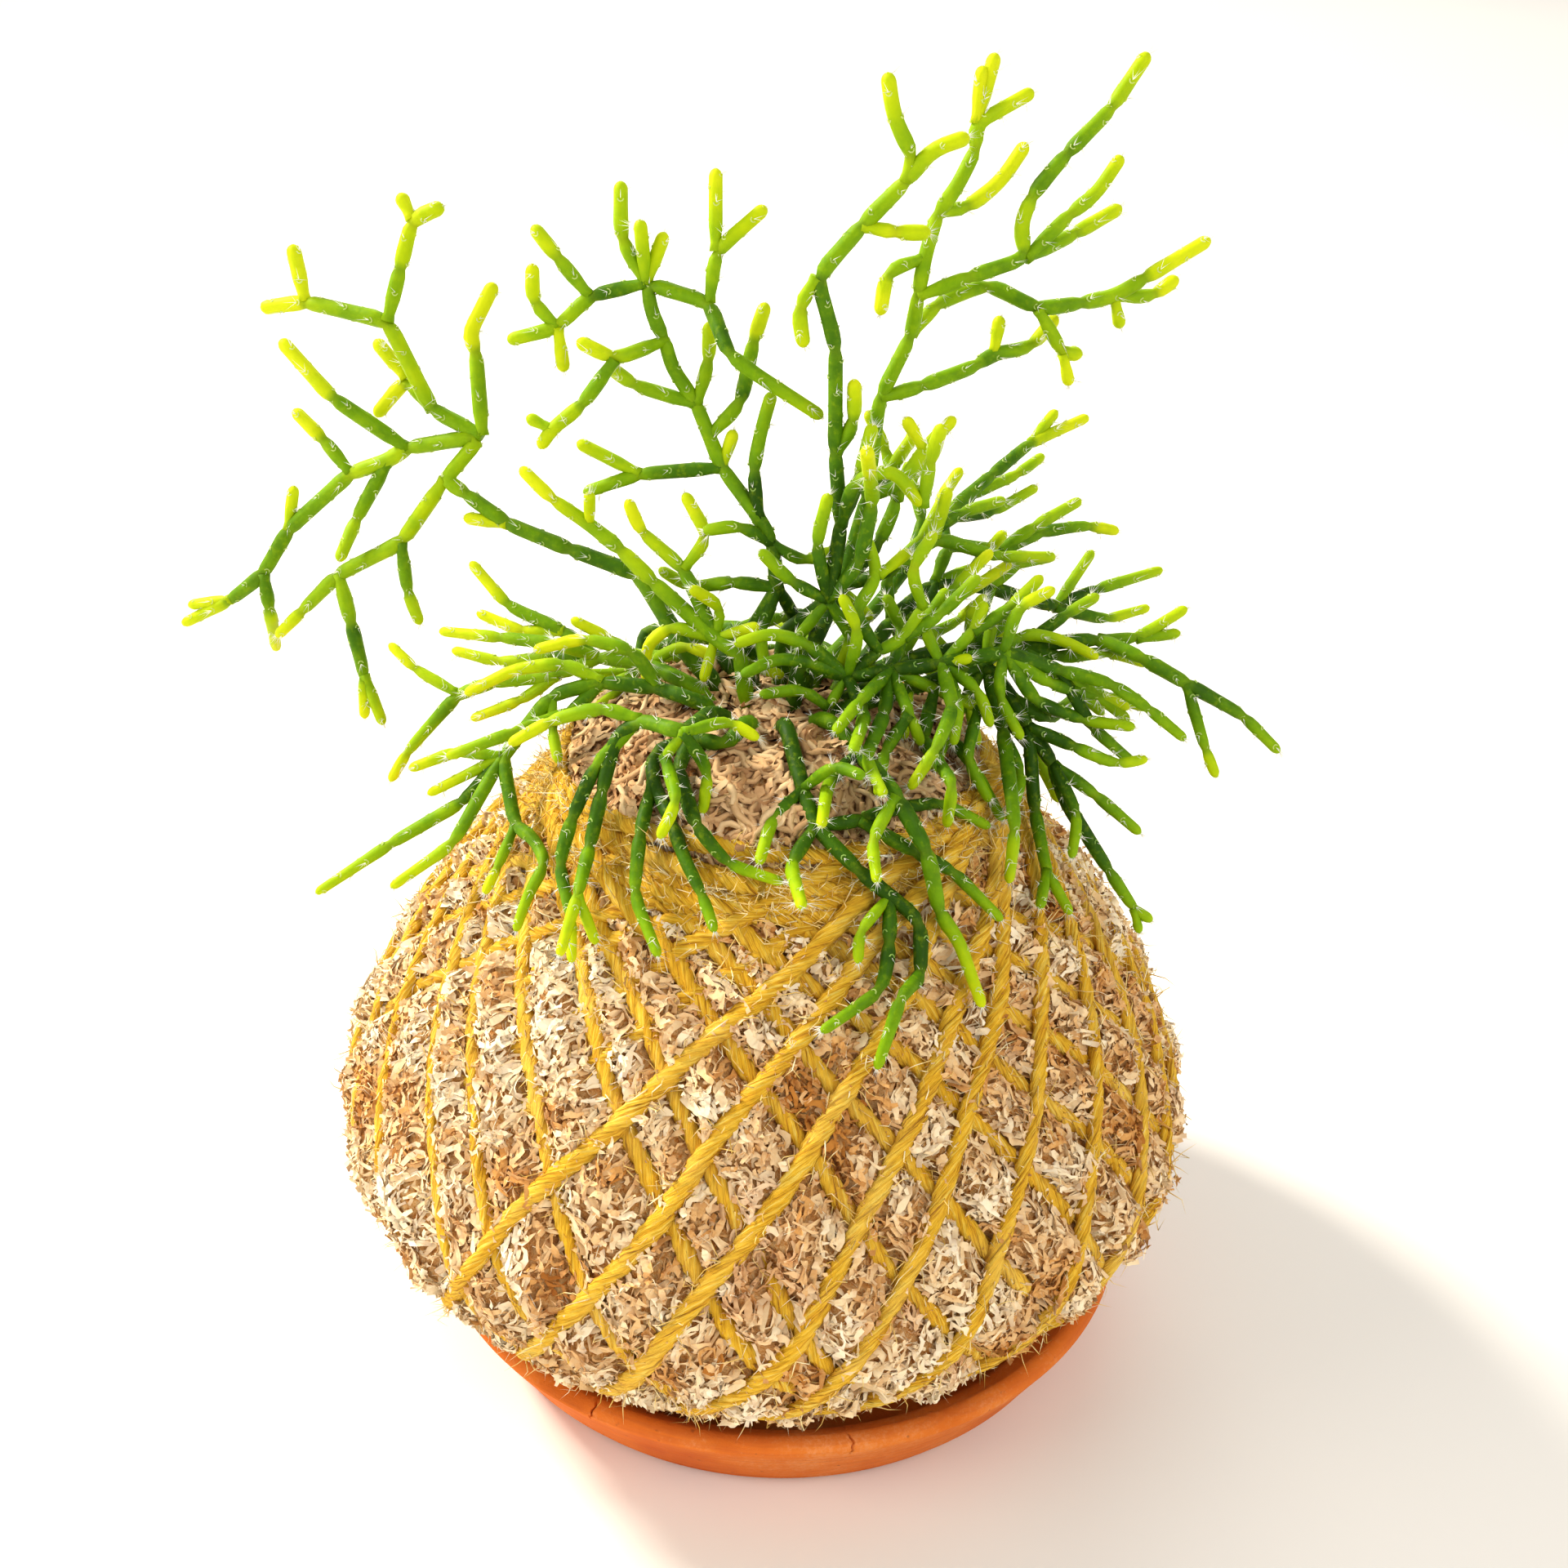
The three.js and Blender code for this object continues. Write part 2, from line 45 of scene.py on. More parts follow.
# Lengths in the settings are in mm; meshes are turned into metres as they are made.
mm = 0.001
goldenAngle = 2.399963                    # radians; spreads points without rows
thin = 1.0

# Camera, floor and light

view = {
    "place": (0.0, -248.8, 223.4),
    "aim": (-1.2, 0.0, 92.3),
    "roll": 1.78,
    "lens": 43.125,
    "sensor": 36.0,
    "nearest": 10.0,
}
ballPlace = (0.0, 0.0, 0.09)
sunlight, skylight = (1.0, 0.93, 0.80), (1.0, 0.96, 0.89)
# Metres here. For each light: its place, size, power and colour, and what it aims at
studio = {
    "floor": 6.0,
    "floorColour": (238, 235, 230),
    "worldColour": (1.0, 0.985, 0.96),
    "worldStrength": 0.54,
    "exposure": 0.0,
    "lights": {
        "key": ((-1.3, 0.6, 1.28), 0.36, 51.0, sunlight, ballPlace),
        "fill": ((0.75, -0.8, 0.9), 1.0, 8.6, skylight, ballPlace),
        "left": ((-1.1, -0.45, 0.55), 0.7, 6.5, skylight, ballPlace),
        "back": ((0.0, 2.6, 1.7), 2.0, 30.0, skylight, (0.0, 2.0, 0.0)),
    },
}


def aimed(thing, place, aim, roll=0.0):
    look = (Vector(aim) - Vector(place)).to_track_quat("-Z", "Y")
    turn = look @ Quaternion((0, 0, 1), math.radians(roll))
    thing.matrix_world = Matrix.Translation(place) @ turn.to_matrix().to_4x4()


def addCamera():
    data = bpy.data.cameras.new("camera")
    data.lens = view["lens"]
    data.sensor_width = view["sensor"]
    data.clip_start = view["nearest"] * mm
    made = bpy.data.objects.new("camera", data)
    bpy.context.scene.collection.objects.link(made)
    aimed(made, Vector(view["place"]) * mm, Vector(view["aim"]) * mm, view["roll"])
    bpy.context.scene.camera = made


def addLight(name, place, size, power, colour, aim):
    data = bpy.data.lights.new(name, "AREA")
    data.shape = "DISK"
    data.size = size
    data.energy = power
    data.color = colour
    made = bpy.data.objects.new(name, data)
    bpy.context.scene.collection.objects.link(made)
    aimed(made, place, aim)


# Colours are given as they look on a screen, from 0 to 255.
def paint(red, green, blue):
    shares = [part / 255 for part in (red, green, blue)]
    return tuple(((s + 0.055) / 1.055) ** 2.4 if s > 0.04 else s / 12.92 for s in shares) + (1.0,)


# Shader values: arithmetic on one adds its Math nodes
class Value:
    def __init__(self, finish, socket):
        self.finish = finish
        self.socket = socket

    def math(self, operation, first, second):
        return self.finish.node("Math", {"operation": operation}, {0: first, 1: second})

    def __add__(self, other):
        return self.math("ADD", self, other)

    def __radd__(self, other):
        return self.math("ADD", other, self)

    def __sub__(self, other):
        return self.math("SUBTRACT", self, other)

    def __rsub__(self, other):
        return self.math("SUBTRACT", other, self)

    def __mul__(self, other):
        return self.math("MULTIPLY", self, other)

    def __rmul__(self, other):
        return self.math("MULTIPLY", other, self)


class Finish:
    def __init__(self, name):
        self.material = bpy.data.materials.new(name)
        self.material.use_nodes = True
        self.tree = self.material.node_tree
        self.tree.nodes.clear()

    def node(self, kind, settings, values, out=0):
        made = self.tree.nodes.new("ShaderNode" + kind)
        for key, value in settings.items():
            if key != "stops":
                setattr(made, key, value)
                continue
            elements = made.color_ramp.elements
            while len(elements) < len(value):
                elements.new(0.5)
            for element, (position, *colour) in zip(elements, value):
                element.position = position
                element.color = paint(*colour)
        for key, value in values.items():
            if isinstance(value, Value):
                self.tree.links.new(value.socket, made.inputs[key])
            else:
                made.inputs[key].default_value = value
        return Value(self, made.outputs[out]) if made.outputs else None

    def place(self):
        metres = self.node("TexCoord", {}, {}, "Object")
        return self.node("VectorMath", {"operation": "SCALE"}, {0: metres, "Scale": 1000.0})

    def mark(self):
        return self.node("Attribute", {"attribute_name": "mark"}, {}, "Vector")

    def parts(self, vector):
        return [self.node("SeparateXYZ", {}, {0: vector}, k) for k in range(3)]

    def stretched(self, vector, scale):
        return self.node("VectorMath", {"operation": "MULTIPLY"}, {0: vector, 1: scale})

    def noise(self, vector, size, detail=3.0, rough=0.55):
        values = {"Vector": vector, "Scale": 1 / size, "Detail": detail, "Roughness": rough}
        return self.node("TexNoise", {}, values)

    def span(self, value, low, high):
        values = {0: value, 1: low, 2: high}
        return self.node("MapRange", {"interpolation_type": "SMOOTHSTEP"}, values)

    def mix(self, share, first, second):
        return self.node("Mix", {"data_type": "RGBA"}, {0: share, 6: first, 7: second}, 2)

    def ramp(self, value, stops):
        return self.node("ValToRGB", {"stops": stops}, {0: value})        # position, red, green, blue

    def surface(self, colour, roughness, height=None, depth=0.1, strength=1.0, constants=None):
        values = {"Base Color": colour, "Roughness": roughness}
        values.update(constants or {})
        if height is not None:
            bumpValues = {"Height": height, "Distance": depth * mm, "Strength": strength}
            values["Normal"] = self.node("Bump", {}, bumpValues)
        shader = self.node("BsdfPrincipled", {}, values)
        self.node("OutputMaterial", {}, {"Surface": shader})
        return self.material


# Meshes are gathered from arrays: points in mm, faces by their corners, and one mark of three
# numbers on each point, which the finishes read.
class Shape:
    def __init__(self):
        self.points = []
        self.marks = []
        self.faces = []
        self.count = 0

    def add(self, points, faces, marks, finish=0):
        points = points.reshape(-1, 3)
        marks = np.broadcast_to(marks, points.shape) if np.ndim(marks) == 1 else marks.reshape(-1, 3)
        self.points.append(points)
        self.marks.append(marks)
        for corners in faces:
            self.faces.append((corners.reshape(-1, corners.shape[-1]) + self.count, finish))
        self.count += len(points)
        return self

    def piece(self, name, finishes, slotName, nodes=(), sharp=None):
        mesh = bpy.data.meshes.new(name)
        mesh.vertices.add(self.count)
        mesh.vertices.foreach_set("co", (np.concatenate(self.points) * mm).ravel())
        corners = np.concatenate([faces.ravel() for faces, finish in self.faces])
        sizes = np.concatenate([np.full(len(faces), faces.shape[1]) for faces, finish in self.faces])
        kinds = np.concatenate([np.full(len(faces), finish) for faces, finish in self.faces])
        mesh.loops.add(len(corners))
        mesh.loops.foreach_set("vertex_index", corners.astype(np.int32))
        mesh.polygons.add(len(sizes))
        mesh.polygons.foreach_set("loop_start", (np.cumsum(sizes) - sizes).astype(np.int32))
        mesh.polygons.foreach_set("material_index", kinds.astype(np.int32))
        mesh.update(calc_edges=True)
        marks = mesh.attributes.new("mark", "FLOAT_VECTOR", "POINT")
        marks.data.foreach_set("vector", np.concatenate(self.marks).astype(np.float32).ravel())
        mesh.shade_smooth()
        if sharp:
            mesh.set_sharp_from_angle(angle=math.radians(sharp))
        for finish in finishes:
            mesh.materials.append(finish)
        made = bpy.data.objects.new(name, mesh)
        bpy.context.scene.collection.objects.link(made)
        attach(made, "root")
        if nodes:
            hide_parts(*nodes)
        print("piece:", name, int((sizes - 2).sum()), "triangles")
        return made


def numbered(points):
    return np.arange(int(np.prod(points.shape[:3]))).reshape(points.shape[:3])


# Faces of tubes: rings is (tubes, along, round, 3), and ends are capped or the tube closes on itself.
def sleeveFaces(rings, closed=False):
    number = numbered(rings)
    beside = np.roll(number, -1, axis=2)
    ahead = np.roll(number, -1, axis=1)
    aheadBeside = np.roll(beside, -1, axis=1)
    quads = np.stack([number, beside, aheadBeside, ahead], axis=-1)
    if closed:
        return [quads]
    return [quads[:, :-1], number[:, :1, ::-1], number[:, -1:]]


def unit(vectors):
    return vectors / np.maximum(np.linalg.norm(vectors, axis=-1, keepdims=True), 1e-9)


def dot(first, second):
    return (first * second).sum(-1, keepdims=True)


def smoothStep(value, low, high):
    share = np.clip((value - low) / (high - low), 0, 1)
    return share * share * (3 - 2 * share)


def roundCircle(count):
    return 2 * math.pi * np.arange(count) / count


# Points round the upright axis
def turned(radius, azimuth, height):
    across, deep = radius * np.cos(azimuth), radius * np.sin(azimuth)
    return np.stack(np.broadcast_arrays(across, deep, height), axis=-1)


# Rings of vectors: cosine times one direction and sine times the other, at each angle
def circled(angle, first, second):
    return np.cos(angle)[:, None] * first[..., None, :] + np.sin(angle)[:, None] * second[..., None, :]


# A smooth random field between 0 and 1, with lumps of one size. The large numbers hash the corners.
def cloud(points, size, seed):
    cell = np.floor(points / size).astype(np.int64)
    part = points / size - cell
    part = part * part * (3 - 2 * part)
    total = 0.0
    for corner in range(8):
        step = np.array([corner & 1, corner >> 1 & 1, corner >> 2 & 1])
        key = ((cell + step) * np.array([73856093, 19349663, 83492791])).sum(-1) + seed * 7919
        key = (key ^ (key >> 13)) * 1274126177
        key = (key ^ (key >> 16)) & 0xFFFF
        weight = np.where(step == 1, part, 1 - part).prod(-1)
        total = total + weight * key / 0xFFFF
    return total


# Tubes and ribbons along draped paths: the path, its way up, the way across, and the share along it.
# Both are widest at the middle, and ribbons also have torn edges and turn over on their way. A swell
# is the part of a half wave that a width follows, and its power.

fibre = {
    "tubeSwell": (0.14, 0.74, 0.7),
    "ribbonSwell": (0.2, 0.64, 0.8),
    "ribbonTears": (0.6, 1.4),
    "ribbonStray": 0.3,
    "needleMiddle": 0.7,
    "around": np.array([0.31, 0.52, 0.8]),
}


def swell(share, start, length, power):
    return np.sin(math.pi * (start + length * share)) ** power


def tubes(paths, widths, sides, flat):
    path, up, aside, share = paths
    width = (widths[:, None] * swell(share, *fibre["tubeSwell"]))[:, :, None, None]
    angle = roundCircle(sides)
    high = flat * np.cos(angle)[:, None] * up[:, :, None, :]
    return path[:, :, None, :] + width * (high + np.sin(angle)[:, None] * aside[:, :, None, :])


def ribbons(paths, widths, tilts, twists, random):
    path, up, aside, share = paths
    torn = random.uniform(*fibre["ribbonTears"], share.shape)
    width = (widths[:, None] * torn * swell(share, *fibre["ribbonSwell"]))[:, :, None]
    stray = random.normal(0, fibre["ribbonStray"], share.shape)
    tilt = (tilts[:, None] + twists[:, None] * share + stray)[:, :, None]
    edge = width * (np.cos(tilt) * aside + np.sin(tilt) * up)
    strips = np.stack([path - edge, path + edge], axis=2)
    number = numbered(strips)
    left, right = number[..., 0], number[..., 1]
    return strips, [np.stack([left[:, :-1], right[:, :-1], right[:, 1:], left[:, 1:]], axis=-1)]


# Three corners round each root, square to its heading
def hairCircle(headings):
    across = unit(np.cross(headings, fibre["around"]))
    return circled(roundCircle(3), across, np.cross(headings, across))


# Needles: three-sided hairs that bend once on the way to their point.
def needles(shape, roots, headings, bends, lengths, width, marks):
    circle = hairCircle(headings)
    lengths = lengths[:, None]
    middle = roots + headings * lengths * 0.5
    tip = middle + unit(headings + bends) * lengths * 0.5
    narrower = circle * width * fibre["needleMiddle"]
    points = [roots[:, None] + circle * width, middle[:, None] + narrower, tip[:, None]]
    points = np.concatenate(points, axis=1)
    base = 7 * np.arange(len(roots))[:, None]
    quads = np.stack([base + np.array(q) for q in ((0, 1, 4, 3), (1, 2, 5, 4), (2, 0, 3, 5))], axis=1)
    tips = np.stack([base + np.array(t) for t in ((3, 4, 6), (4, 5, 6), (5, 3, 6), (2, 1, 0))], axis=1)
    shape.add(points, [quads, tips], np.repeat(marks, 7, axis=0))


# Bristles: straight three-sided hairs, all pale.
def bristles(shape, roots, headings, lengths, width, finish):
    tips = roots + headings * lengths[:, None]
    points = np.concatenate([roots[:, None] + width * hairCircle(headings), tips[:, None]], axis=1)
    base = 4 * np.arange(len(roots))[:, None]
    faces = np.stack([base + np.array(t) for t in ((0, 1, 3), (1, 2, 3), (2, 0, 3))], axis=1)
    shape.add(points, [faces], np.ones(3), finish)


# The ball: the same outline as the solids. It draws in where it sits in its saucer, from one angle
# below its top to another, and reach is its mean radius.

ball = {
    "axis": np.array([-3.0, -0.7, 0.0]),
    "middle": 48.0,
    "outline": np.array([
        [36, 5.25], [43.5, 9.6], [48, 14], [55.5, 21], [61.3, 29], [65, 41], [61.7, 53.5],
        [55.5, 66], [47, 77.5], [39, 86.5], [33, 93], [29, 98], [20, 103], [12.4, 105.6],
    ]),
    "steps": 4,
    "neck": 12.4,
    "neckFoot": 96.4,
    "soilTop": 105.0,
    "drawnIn": 1.6,
    "drawnInRight": 1.0,
    "drawnInFrom": 102.0,
    "drawnInTo": 121.0,
    "reach": 60.0,
    "scatter": 0.012,
}
heartOfBall = ball["axis"] + np.array([0, 0, ball["middle"]])


def smoothedOutline():
    points = ball["outline"]
    last = len(points) - 1
    made = []
    for k in range(last * ball["steps"] + 1):
        i, part = divmod(k / ball["steps"], 1)
        i = int(i)
        a, b, c, d = (points[min(max(n, 0), last)] for n in (i - 1, i, i + 1, i + 2))
        v, w = (c - a) / 2, (d - b) / 2
        cubed = (2 * b - 2 * c + v + w) * part ** 3
        made.append(cubed + (3 * c - 3 * b - 2 * v - w) * part ** 2 + v * part + b)
    return np.array(made)


outline = smoothedOutline()
outlineAngles = np.arctan2(outline[:, 0], outline[:, 1] - ball["middle"])[::-1]
outlineReaches = np.hypot(outline[:, 0], outline[:, 1] - ball["middle"])[::-1]


# How far the skin lies from the ball's heart, which past the outline's foot is a flat base
def ballReach(angle):
    flat = (ball["middle"] - ball["outline"][0, 1]) / np.maximum(-np.cos(angle), 0.3)
    return np.where(angle >= outlineAngles[-1], flat, np.interp(angle, outlineAngles, outlineReaches))


def angleFromTop(directions):
    return np.arccos(np.clip(directions[..., 2], -1, 1))


# A cloud over the skin, by direction from the heart
def skinCloud(directions, size, seed):
    return cloud(directions * ball["reach"], size, seed)


def onBall(directions, lift):
    angle = angleFromTop(directions)
    drawnIn = ball["drawnIn"] * smoothStep(np.degrees(angle), ball["drawnInFrom"], ball["drawnInTo"])
    drawnIn = drawnIn * (1 + ball["drawnInRight"] * np.maximum(directions[..., 0], 0))
    return heartOfBall + directions * (ballReach(angle) - drawnIn + lift)[..., None]


# Directions spread evenly over the ball between two angles from its top.
def spread(count, fromAngle, toAngle, random):
    high, low = math.cos(math.radians(fromAngle)), math.cos(math.radians(toAngle))
    up = high + (low - high) * (np.arange(count) + 0.5) / count
    azimuth = goldenAngle * np.arange(count)
    made = turned(np.sqrt(1 - up ** 2), azimuth, up)
    return unit(made + random.normal(0, ball["scatter"], made.shape))


# Twine: two turns for each of the solid's, tilted round the ball so that they brush past its collar,
# and a few turns round the collar itself. Later turns lie high, the first lie low in the moss.

winding = {
    "turns": 14,
    "phase": 17.0,
    "collar": 32.5,
    "facingDraw": 0.16,
    "slopeDraw": 2.0,
    "seeds": (71, 29),
    "last": 322.0,
    "lowLift": -1.3,
    "highLift": 0.5,
    "sinks": (0.36, 0.6),                 # span of the order in which most of the sinking comes,
    "sinkShares": (0.8, 0.2),             # and the shares that come there and evenly
    "buriedFrom": 0.88,
    "wander": ((0.5, 5), (0.35, 11)),     # mm to each side, waves in a turn
    "loose": (0.2, 2.0),                  # how high turns may lie where they cross at the top
    "looseSpan": (0.75, 1.0),
    "dive": 1.7,                          # dips under the moss: which patches, turns and heights
    "diveSize": 8.0,
    "divePatches": (0.62, 0.85),
    "diveOrders": (0.25, 0.5),
    "diveDepths": (-0.35, 0.0),
    "collarTurns": 5,
    "collarStart": 0.2,
    "collarStep": 1.7,
    "collarSway": (1.6, 0.5),
    "collarLift": 0.9,
    "collarSink": 0.4,
    "flat": 0.86,
    "wide": 1.12,
    "plies": 3,
    "perPly": 4,
    "plyOffset": 0.46,
    "plyRadius": 0.88,
    "twists": 23,
    "uneven": ((0.13, 5.0, 31), (0.22, 16.0, 32)),
    "rings": 208,
    "longest": 700,
    "hairs": 20500,
    "hairWidth": 0.105,
    "hairLengths": (1.4, 5.6),
    "hairLeans": (0.1, 2.4),
    "hairStray": 0.45,
    "hairBend": 1.0,
    "hairLowest": -0.05,                  # hairs that would point further into the ball are left out
    "collarHairs": 0.16,
}


# The draws that lay the solid's turns too
def draws(seed):
    state = seed
    while True:
        state = state * 16807 % 2147483647
        yield state / 2147483647


# A turn is a great circle through level and rise. The solid's turns come from the first seed, and
# the second lays one more after each.
def windingTurns():
    sources = [draws(seed) for seed in winding["seeds"]]
    spacing = 360 / winding["turns"]
    turns = []
    for i in range(winding["turns"]):
        for half, source in zip((0.0, 0.5), sources):
            step = i + half + winding["facingDraw"] * next(source)
            facing = math.radians(winding["phase"] + spacing * step)
            slope = math.radians(90 - winding["collar"] - winding["slopeDraw"] * next(source))
            flat = math.cos(slope)
            level = np.array([math.sin(facing), -math.cos(facing), 0])
            rise = np.array([flat * math.cos(facing), flat * math.sin(facing), math.sin(slope)])
            order = (math.degrees(facing) - winding["last"]) % 360 / 360
            most, rest = winding["sinkShares"]
            sunk = smoothStep(order, *winding["sinks"]) * most + order * rest
            lift = winding["highLift"] + (winding["lowLift"] - winding["highLift"]) * sunk
            turns.append({"level": level, "rise": rise, "order": order, "lift": lift})
    return turns


turns = windingTurns()


# How far each direction lies from the nearest strand, and how high that strand lies. The moss has
# closed over the very first turns.
def nearestStrand(directions):
    reach = ballReach(angleFromTop(directions))
    gaps = np.full(len(directions), np.inf)
    lifts = np.full(len(directions), winding["lowLift"])
    for turn in turns:
        if turn["order"] > winding["buriedFrom"]:
            continue
        across = np.cross(turn["level"], turn["rise"])
        gap = reach * np.abs(np.arcsin(np.clip(directions @ across, -1, 1)))
        nearer = gap < gaps
        lifts = np.where(nearer, turn["lift"], lifts)
        gaps = np.where(nearer, gap, gaps)
    return gaps, lifts


# mark: length along the twine, and the way across the untwisted string
def juteFinish():
    f = Finish("jute")
    mark = f.mark()
    fine = f.noise(f.stretched(mark, (0.15, 2.5, 2.5)), 1.0, 4.0, 0.68)
    broad = f.noise(f.stretched(mark, (0.05, 0.5, 0.5)), 1.0, 3.0)
    worn = f.noise(f.place(), 14.0, 3.0)
    # The fibre streaks follow the bump's noise: dark in the low crevices, pale on the crests. This is
    # painted crevice shade and painted highlights over the straw's own tone.
    strawWithPaintedLight = f.ramp(fine, [
        (0.32, 140, 84, 8), (0.42, 216, 156, 26),
        (0.53, 240, 190, 46), (0.66, 250, 220, 106),
    ])
    warm = f.mix(f.span(broad, 0.4, 0.7) * 0.45, strawWithPaintedLight, paint(238, 184, 28))
    colour = f.mix(f.span(worn, 0.45, 0.75) * 0.3, warm, paint(248, 218, 118))
    return f.surface(colour, 0.8, fine + broad * 0.6, 0.6, 1.0, {"Specular IOR Level": 0.25})


def juteHairFinish():
    f = Finish("jute_hair")
    worn = f.noise(f.place(), 3.0, 2.0)
    colour = f.ramp(worn, [
        (0.35, 224, 180, 80), (0.5, 246, 216, 136), (0.65, 254, 242, 200),
    ])
    return f.surface(colour, 0.65, None, constants={"Specular IOR Level": 0.3})


# The middle of each turn, from its lowest point round to it again. Older turns dip under the moss on
# the lower half, and all lie loose where they cross at the top.
def twinePaths():
    angle = np.linspace(-math.pi / 2, 1.5 * math.pi, winding["rings"], endpoint=False)
    top = smoothStep(np.sin(angle), *winding["looseSpan"])
    random = np.random.default_rng(11)
    centres = []
    for turn in turns:
        directions = circled(angle, turn["level"], turn["rise"])
        wander = sum(
            width * np.sin(angle * waves + random.uniform(0, 6)) / ball["reach"]
            for width, waves in winding["wander"]
        )
        directions = unit(directions + wander[:, None] * np.cross(turn["level"], turn["rise"]))
        dive = smoothStep(skinCloud(directions, winding["diveSize"], 61), *winding["divePatches"])
        dive = dive * smoothStep(turn["order"], *winding["diveOrders"])
        dive = dive * smoothStep(-directions[:, 2], *winding["diveDepths"])
        loose = top * random.uniform(*winding["loose"])
        centres.append(onBall(directions, turn["lift"] - winding["dive"] * dive + loose))
    sway = np.radians(winding["collarSway"])
    for k in range(winding["collarTurns"]):
        tilt = math.radians(winding["collar"] + winding["collarStart"] + winding["collarStep"] * k)
        lean = tilt + sway[0] * np.sin(angle + 1.9 * k) + sway[1] * np.sin(4 * angle + k)
        lift = winding["collarLift"] - winding["collarSink"] * k
        centres.append(onBall(turned(np.sin(lean), angle, np.cos(lean)), np.full(len(angle), lift)))
    return np.array(centres)


# Round plies twisted together: a ring has a lobe for each ply, and turns along the path.
def addTwine():
    paths = twinePaths()
    along = unit(np.roll(paths, -1, axis=1) - np.roll(paths, 1, axis=1))
    out = unit(paths - heartOfBall)
    out = unit(out - along * dot(out, along))
    across = np.cross(along, out)
    perPly = winding["perPly"]
    corner = np.arange(perPly * winding["plies"])
    lobe = 2 * math.pi / winding["plies"]
    fromPly = (corner % perPly - perPly / 2) / perPly * lobe
    offset, plyRadius = winding["plyOffset"], winding["plyRadius"]
    reach = offset * np.cos(fromPly) + np.sqrt(plyRadius ** 2 - (offset * np.sin(fromPly)) ** 2)
    around = corner // perPly * lobe + fromPly
    steps = np.arange(winding["rings"]) / winding["rings"]
    twist = 2 * math.pi * winding["twists"] * steps[None, :, None] + around
    uneven = 1
    for share, size, seed in winding["uneven"]:
        uneven = uneven + share * (cloud(paths, size, seed) - 0.5)
    high = (reach * np.cos(twist) * uneven[:, :, None])[..., None] * winding["flat"]
    wide = (reach * np.sin(twist) * uneven[:, :, None])[..., None] * winding["wide"]
    rings = paths[:, :, None, :] + out[:, :, None, :] * high + across[:, :, None, :] * wide
    length = np.linalg.norm(np.roll(paths, -1, axis=1) - paths, axis=2).cumsum(axis=1)
    marks = np.zeros(rings.shape)
    marks[..., 0] = (length + winding["longest"] * np.arange(len(paths))[:, None])[..., None]
    marks[..., 1] = reach * np.cos(around)
    marks[..., 2] = reach * np.sin(around)
    shape = Shape().add(rings, sleeveFaces(rings, closed=True), marks)
    shape.piece("twine_winding", [juteFinish()], "jute", ["twine"])
    addTwineHairs(rings, paths, along)


def addTwineHairs(rings, paths, along):
    random = np.random.default_rng(23)
    count = int(winding["hairs"] * thin)
    turn = random.integers(0, len(turns), count)
    collar = random.uniform(0, 1, count) < winding["collarHairs"]
    turn = np.where(collar, random.integers(len(turns), rings.shape[0], count), turn)
    ring = random.integers(0, rings.shape[1], count)
    corner = random.integers(0, rings.shape[2], count)
    roots = rings[turn, ring, corner]
    out = unit(roots - paths[turn, ring])
    forward = along[turn, ring] * random.choice([-1, 1], count)[:, None]
    lean = random.uniform(*winding["hairLeans"], (count, 1))
    headings = unit(out + forward * lean + random.normal(0, winding["hairStray"], (count, 3)))
    clear = dot(headings, unit(roots - heartOfBall))[:, 0] > winding["hairLowest"]
    bends = random.normal(0, winding["hairBend"], (count, 3))
    lengths = random.uniform(*winding["hairLengths"], count)
    kept = [values[clear] for values in (roots, headings, bends, lengths)]
    shape = Shape()
    needles(shape, *kept, winding["hairWidth"], np.zeros((clear.sum(), 3)))
    shape.piece("twine_hairs", [juteHairFinish()], "jute")


# Moss: a bed that swells between the strands, with shavings, crumbs and fluff on it, and wider
# ribbons and long strands on the knob

